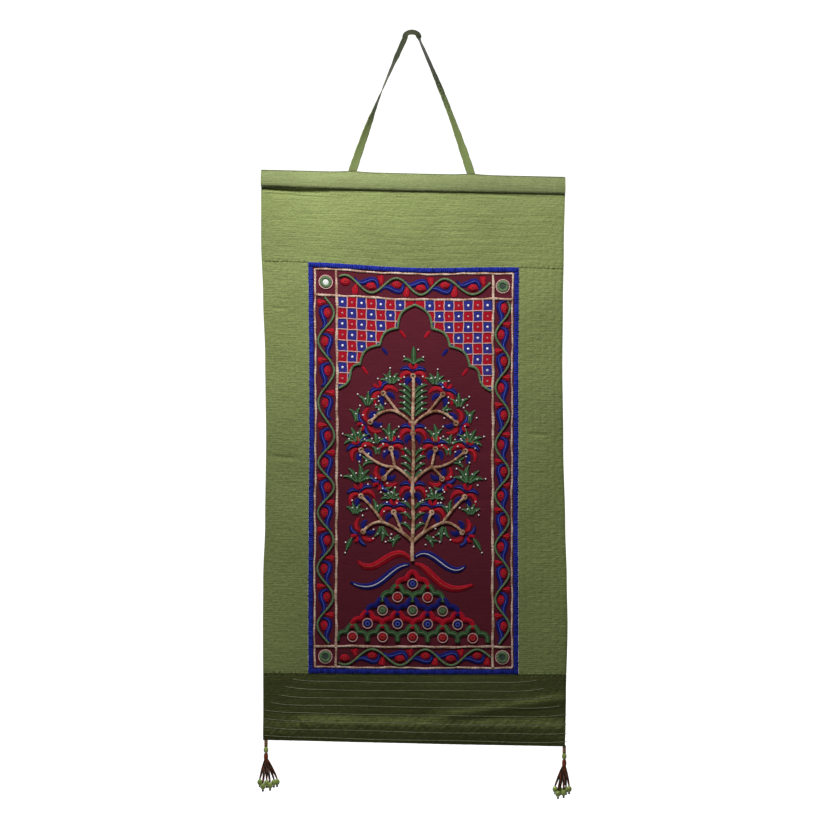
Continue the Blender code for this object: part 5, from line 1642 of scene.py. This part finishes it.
class TasselsOperator(Operator):
    """Hang the two beaded tassels"""

    bl_idname = "wall_hanging.tassels"
    bl_label = "Tassels"

    def execute(self, context):
        strands = context.scene.wall_hanging.strands
        for side, neck_across, cord_drop, fan, lean, drop in TASSELS:
            x, corner = (float(value) for value in hang(neck_across, CLOTH_DROP))
            y = float(rest_depth(neck_across, CLOTH_DROP)) + PANEL_THICKNESS / 2.0
            foot = corner - cord_drop
            height = np.linspace(corner + 0.0006, foot - 0.001, 16)
            out, forth = CORD_TWIST * np.cos(height * 900.0), CORD_TWIST * np.sin(height * 900.0)
            plies = np.stack([x + out, y + forth, height], axis=-1)
            other = np.stack([2 * x - plies[:, 0], 2 * y - plies[:, 1], height], axis=-1)
            cord = tubes("tassel_loop_" + side, np.stack([plies, other]), CORD_PLY_RADIUS, sides=8)
            fit(cord, "tassel_cord", "silk_tape", "tassel_cord_" + side)
            wide, tall = NECK_BEAD
            bead = foot - PIECE_GAP - tall
            neck = ellipsoids("neck_bead_glass_" + side, [[x, y, bead]], wide, wide, tall, 14, 20)
            fit(neck, "green_bead", "glass_bead", "neck_bead_" + side)
            top = bead - tall - PIECE_GAP
            spiral = np.linspace(0.0, 1.0, 240)
            turn = spiral * 2.0 * np.pi * WRAP_TURNS
            belly = 0.0024 + 0.0007 * np.sin(np.pi * spiral)
            wound = np.stack([x + belly * np.cos(turn), y + belly * np.sin(turn), top - WRAP_HEIGHT * spiral],
                             axis=-1)
            wrap = tubes("tassel_wrap_" + side, wound[None], WRAP_THREAD_RADIUS, sides=6)
            fit(wrap, "wrap", "tassel_thread")
            root = top - WRAP_HEIGHT
            share = np.linspace(0.0, 1.0, 22)
            ends, dark, bright = [], [], []
            for number, (aside, forward, reach) in enumerate(STRAND_SPREAD):
                level = drop * reach
                end = np.array([x + lean + fan * aside, y + FAN_DEPTH * forward, root - level])
                ends.append(end - np.array([0.0, 0.0, END_BEAD[1]]))
                for strand in range(strands):
                    swing = 2.0 * np.pi * strand / strands + number + 9.0 * share
                    spread = 0.0010 * np.sin(np.pi * share) ** 0.6 + 0.0006
                    line = np.stack([
                        x + (end[0] - x) * share**0.90 + spread * np.cos(swing),
                        y + (end[1] - y) * share + spread * np.sin(swing),
                        root + 0.004 - (level + 0.004) * share,
                    ], axis=-1)
                    (bright if (number + strand) % 3 == 0 else dark).append(line)
            skirt = tubes("tassel_skirt_" + side, np.stack(dark), STRAND_RADIUS, sides=6)
            fit(skirt, "strand", "tassel_thread", "tassel_" + side)
            fit(tubes("tassel_bright_" + side, np.stack(bright), STRAND_RADIUS, sides=6), "wrap",
                "tassel_thread")
            ends = np.array(ends)
            nodes = ["end_bead_" + side + "_" + str(number + 1) for number in range(len(STRAND_SPREAD))]
            wide, tall = END_BEAD
            beads = ellipsoids("end_beads_" + side, ends, wide, wide, tall, 12, 16)
            fit(beads, "green_bead", "glass_bead", *nodes)
            below = ends - np.array([0.0, 0.0, tall + 0.0014])
            tips = ellipsoids("end_tips_" + side, below, *(BEAD_TIP_RADIUS,) * 3, 8, 12)
            fit(tips, "black_bead", "glass_bead")
        return {"FINISHED"}


class StageOperator(Operator):
    """Set the floor, the backdrop, the lights and the camera"""

    bl_idname = "wall_hanging.stage"
    bl_label = "Studio Stage"

    def execute(self, context):
        scene = context.scene
        white = Finish("studio_white", (0.70, 0.70, 0.70), 0.9, 0.0, 0.2)
        glow = Finish("studio_glow", (0.9, 0.9, 0.9), 0.9, 0.0, 0.0)
        glow.shader.inputs["Emission Color"].default_value = (1.0, 1.0, 1.0, 1.0)
        glow.shader.inputs["Emission Strength"].default_value = 1.0
        planes = (
            ("studio_floor", FLOOR_SPOT, 0.0, white),
            ("studio_backdrop", BACKDROP_SPOT, math.pi / 2, glow),
        )
        placed = []
        for name, spot, tilt, surface in planes:
            bpy.ops.mesh.primitive_plane_add(size=STUDIO_SIZE, location=spot, rotation=(tilt, 0.0, 0.0))
            plane = context.active_object
            plane.name = name
            plane.data.materials.append(surface.material)
            placed.append(plane)
        for name, spot, aim, size, power in LAMPS:
            lamp = bpy.data.lights.new(name, "AREA")
            lamp.energy = power
            lamp.size = size
            holder = bpy.data.objects.new(name, lamp)
            scene.collection.objects.link(holder)
            holder.location = spot
            way = np.array(aim) - np.array(spot)
            holder.rotation_euler = (math.atan2(math.hypot(way[0], way[1]), -way[2]), 0.0,
                                     math.atan2(-way[0], way[1]))
            placed.append(holder)
        world = bpy.data.worlds.new("studio_world")
        world.use_nodes = True
        surroundings = world.node_tree.nodes["Background"]
        surroundings.inputs["Color"].default_value = (1.0, 1.0, 1.0, 1.0)
        surroundings.inputs["Strength"].default_value = WORLD_STRENGTH
        scene.world = world
        scene.view_settings.view_transform = "Standard"
        camera = bpy.data.cameras.new("camera")
        camera.sensor_width = SENSOR
        camera.lens = SENSOR * CAMERA_BACK / FRAME_SIDE
        holder = bpy.data.objects.new("camera", camera)
        scene.collection.objects.link(holder)
        holder.location = (FRAME_CENTRE[0], -CAMERA_BACK, FRAME_CENTRE[1])
        holder.rotation_euler = (math.pi / 2.0, 0.0, 0.0)
        scene.camera = holder
        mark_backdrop(*placed, holder)
        return {"FINISHED"}


class HangingPanel(Panel):
    """Sidebar list of the hanging's steps"""

    bl_idname = "VIEW3D_PT_wall_hanging"
    bl_label = "Wall Hanging"
    bl_space_type = "VIEW_3D"
    bl_region_type = "UI"
    bl_category = "Hanging"

    def draw(self, context):
        look = context.scene.wall_hanging
        for name in look.__annotations__:
            self.layout.prop(look, name)
        for step in STEPS:
            self.layout.operator(step.bl_idname)


STEPS = (
    HeadingOperator, SurroundOperator, QuiltingOperator, CentreOperator, FrameLinesOperator,
    VinesOperator, MirrorsOperator, NicheOperator, SpandrelsOperator, TreeOperator, RibbonsOperator,
    MoundOperator, HangerOperator, TasselsOperator, StageOperator,
)
CLASSES = (HangingSettings,) + STEPS + (HangingPanel,)


def register():
    """Register the settings, the operators and the panel."""
    for item in CLASSES:
        bpy.utils.register_class(item)
    bpy.types.Scene.wall_hanging = PointerProperty(type=HangingSettings)


def unregister():
    """Remove the panel, the operators and the settings."""
    del bpy.types.Scene.wall_hanging
    for item in reversed(CLASSES):
        bpy.utils.unregister_class(item)


def corners():
    """Lowest and highest corner of what is shown, as plain lists."""
    return [[round(value, 6) for value in corner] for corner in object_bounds()]


def main():
    """Register the add-on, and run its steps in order."""
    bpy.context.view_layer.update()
    register()
    for step in STEPS:
        group, name = step.bl_idname.split(".")
        getattr(getattr(bpy.ops, group), name)()


if __name__ == "__main__":
    main()
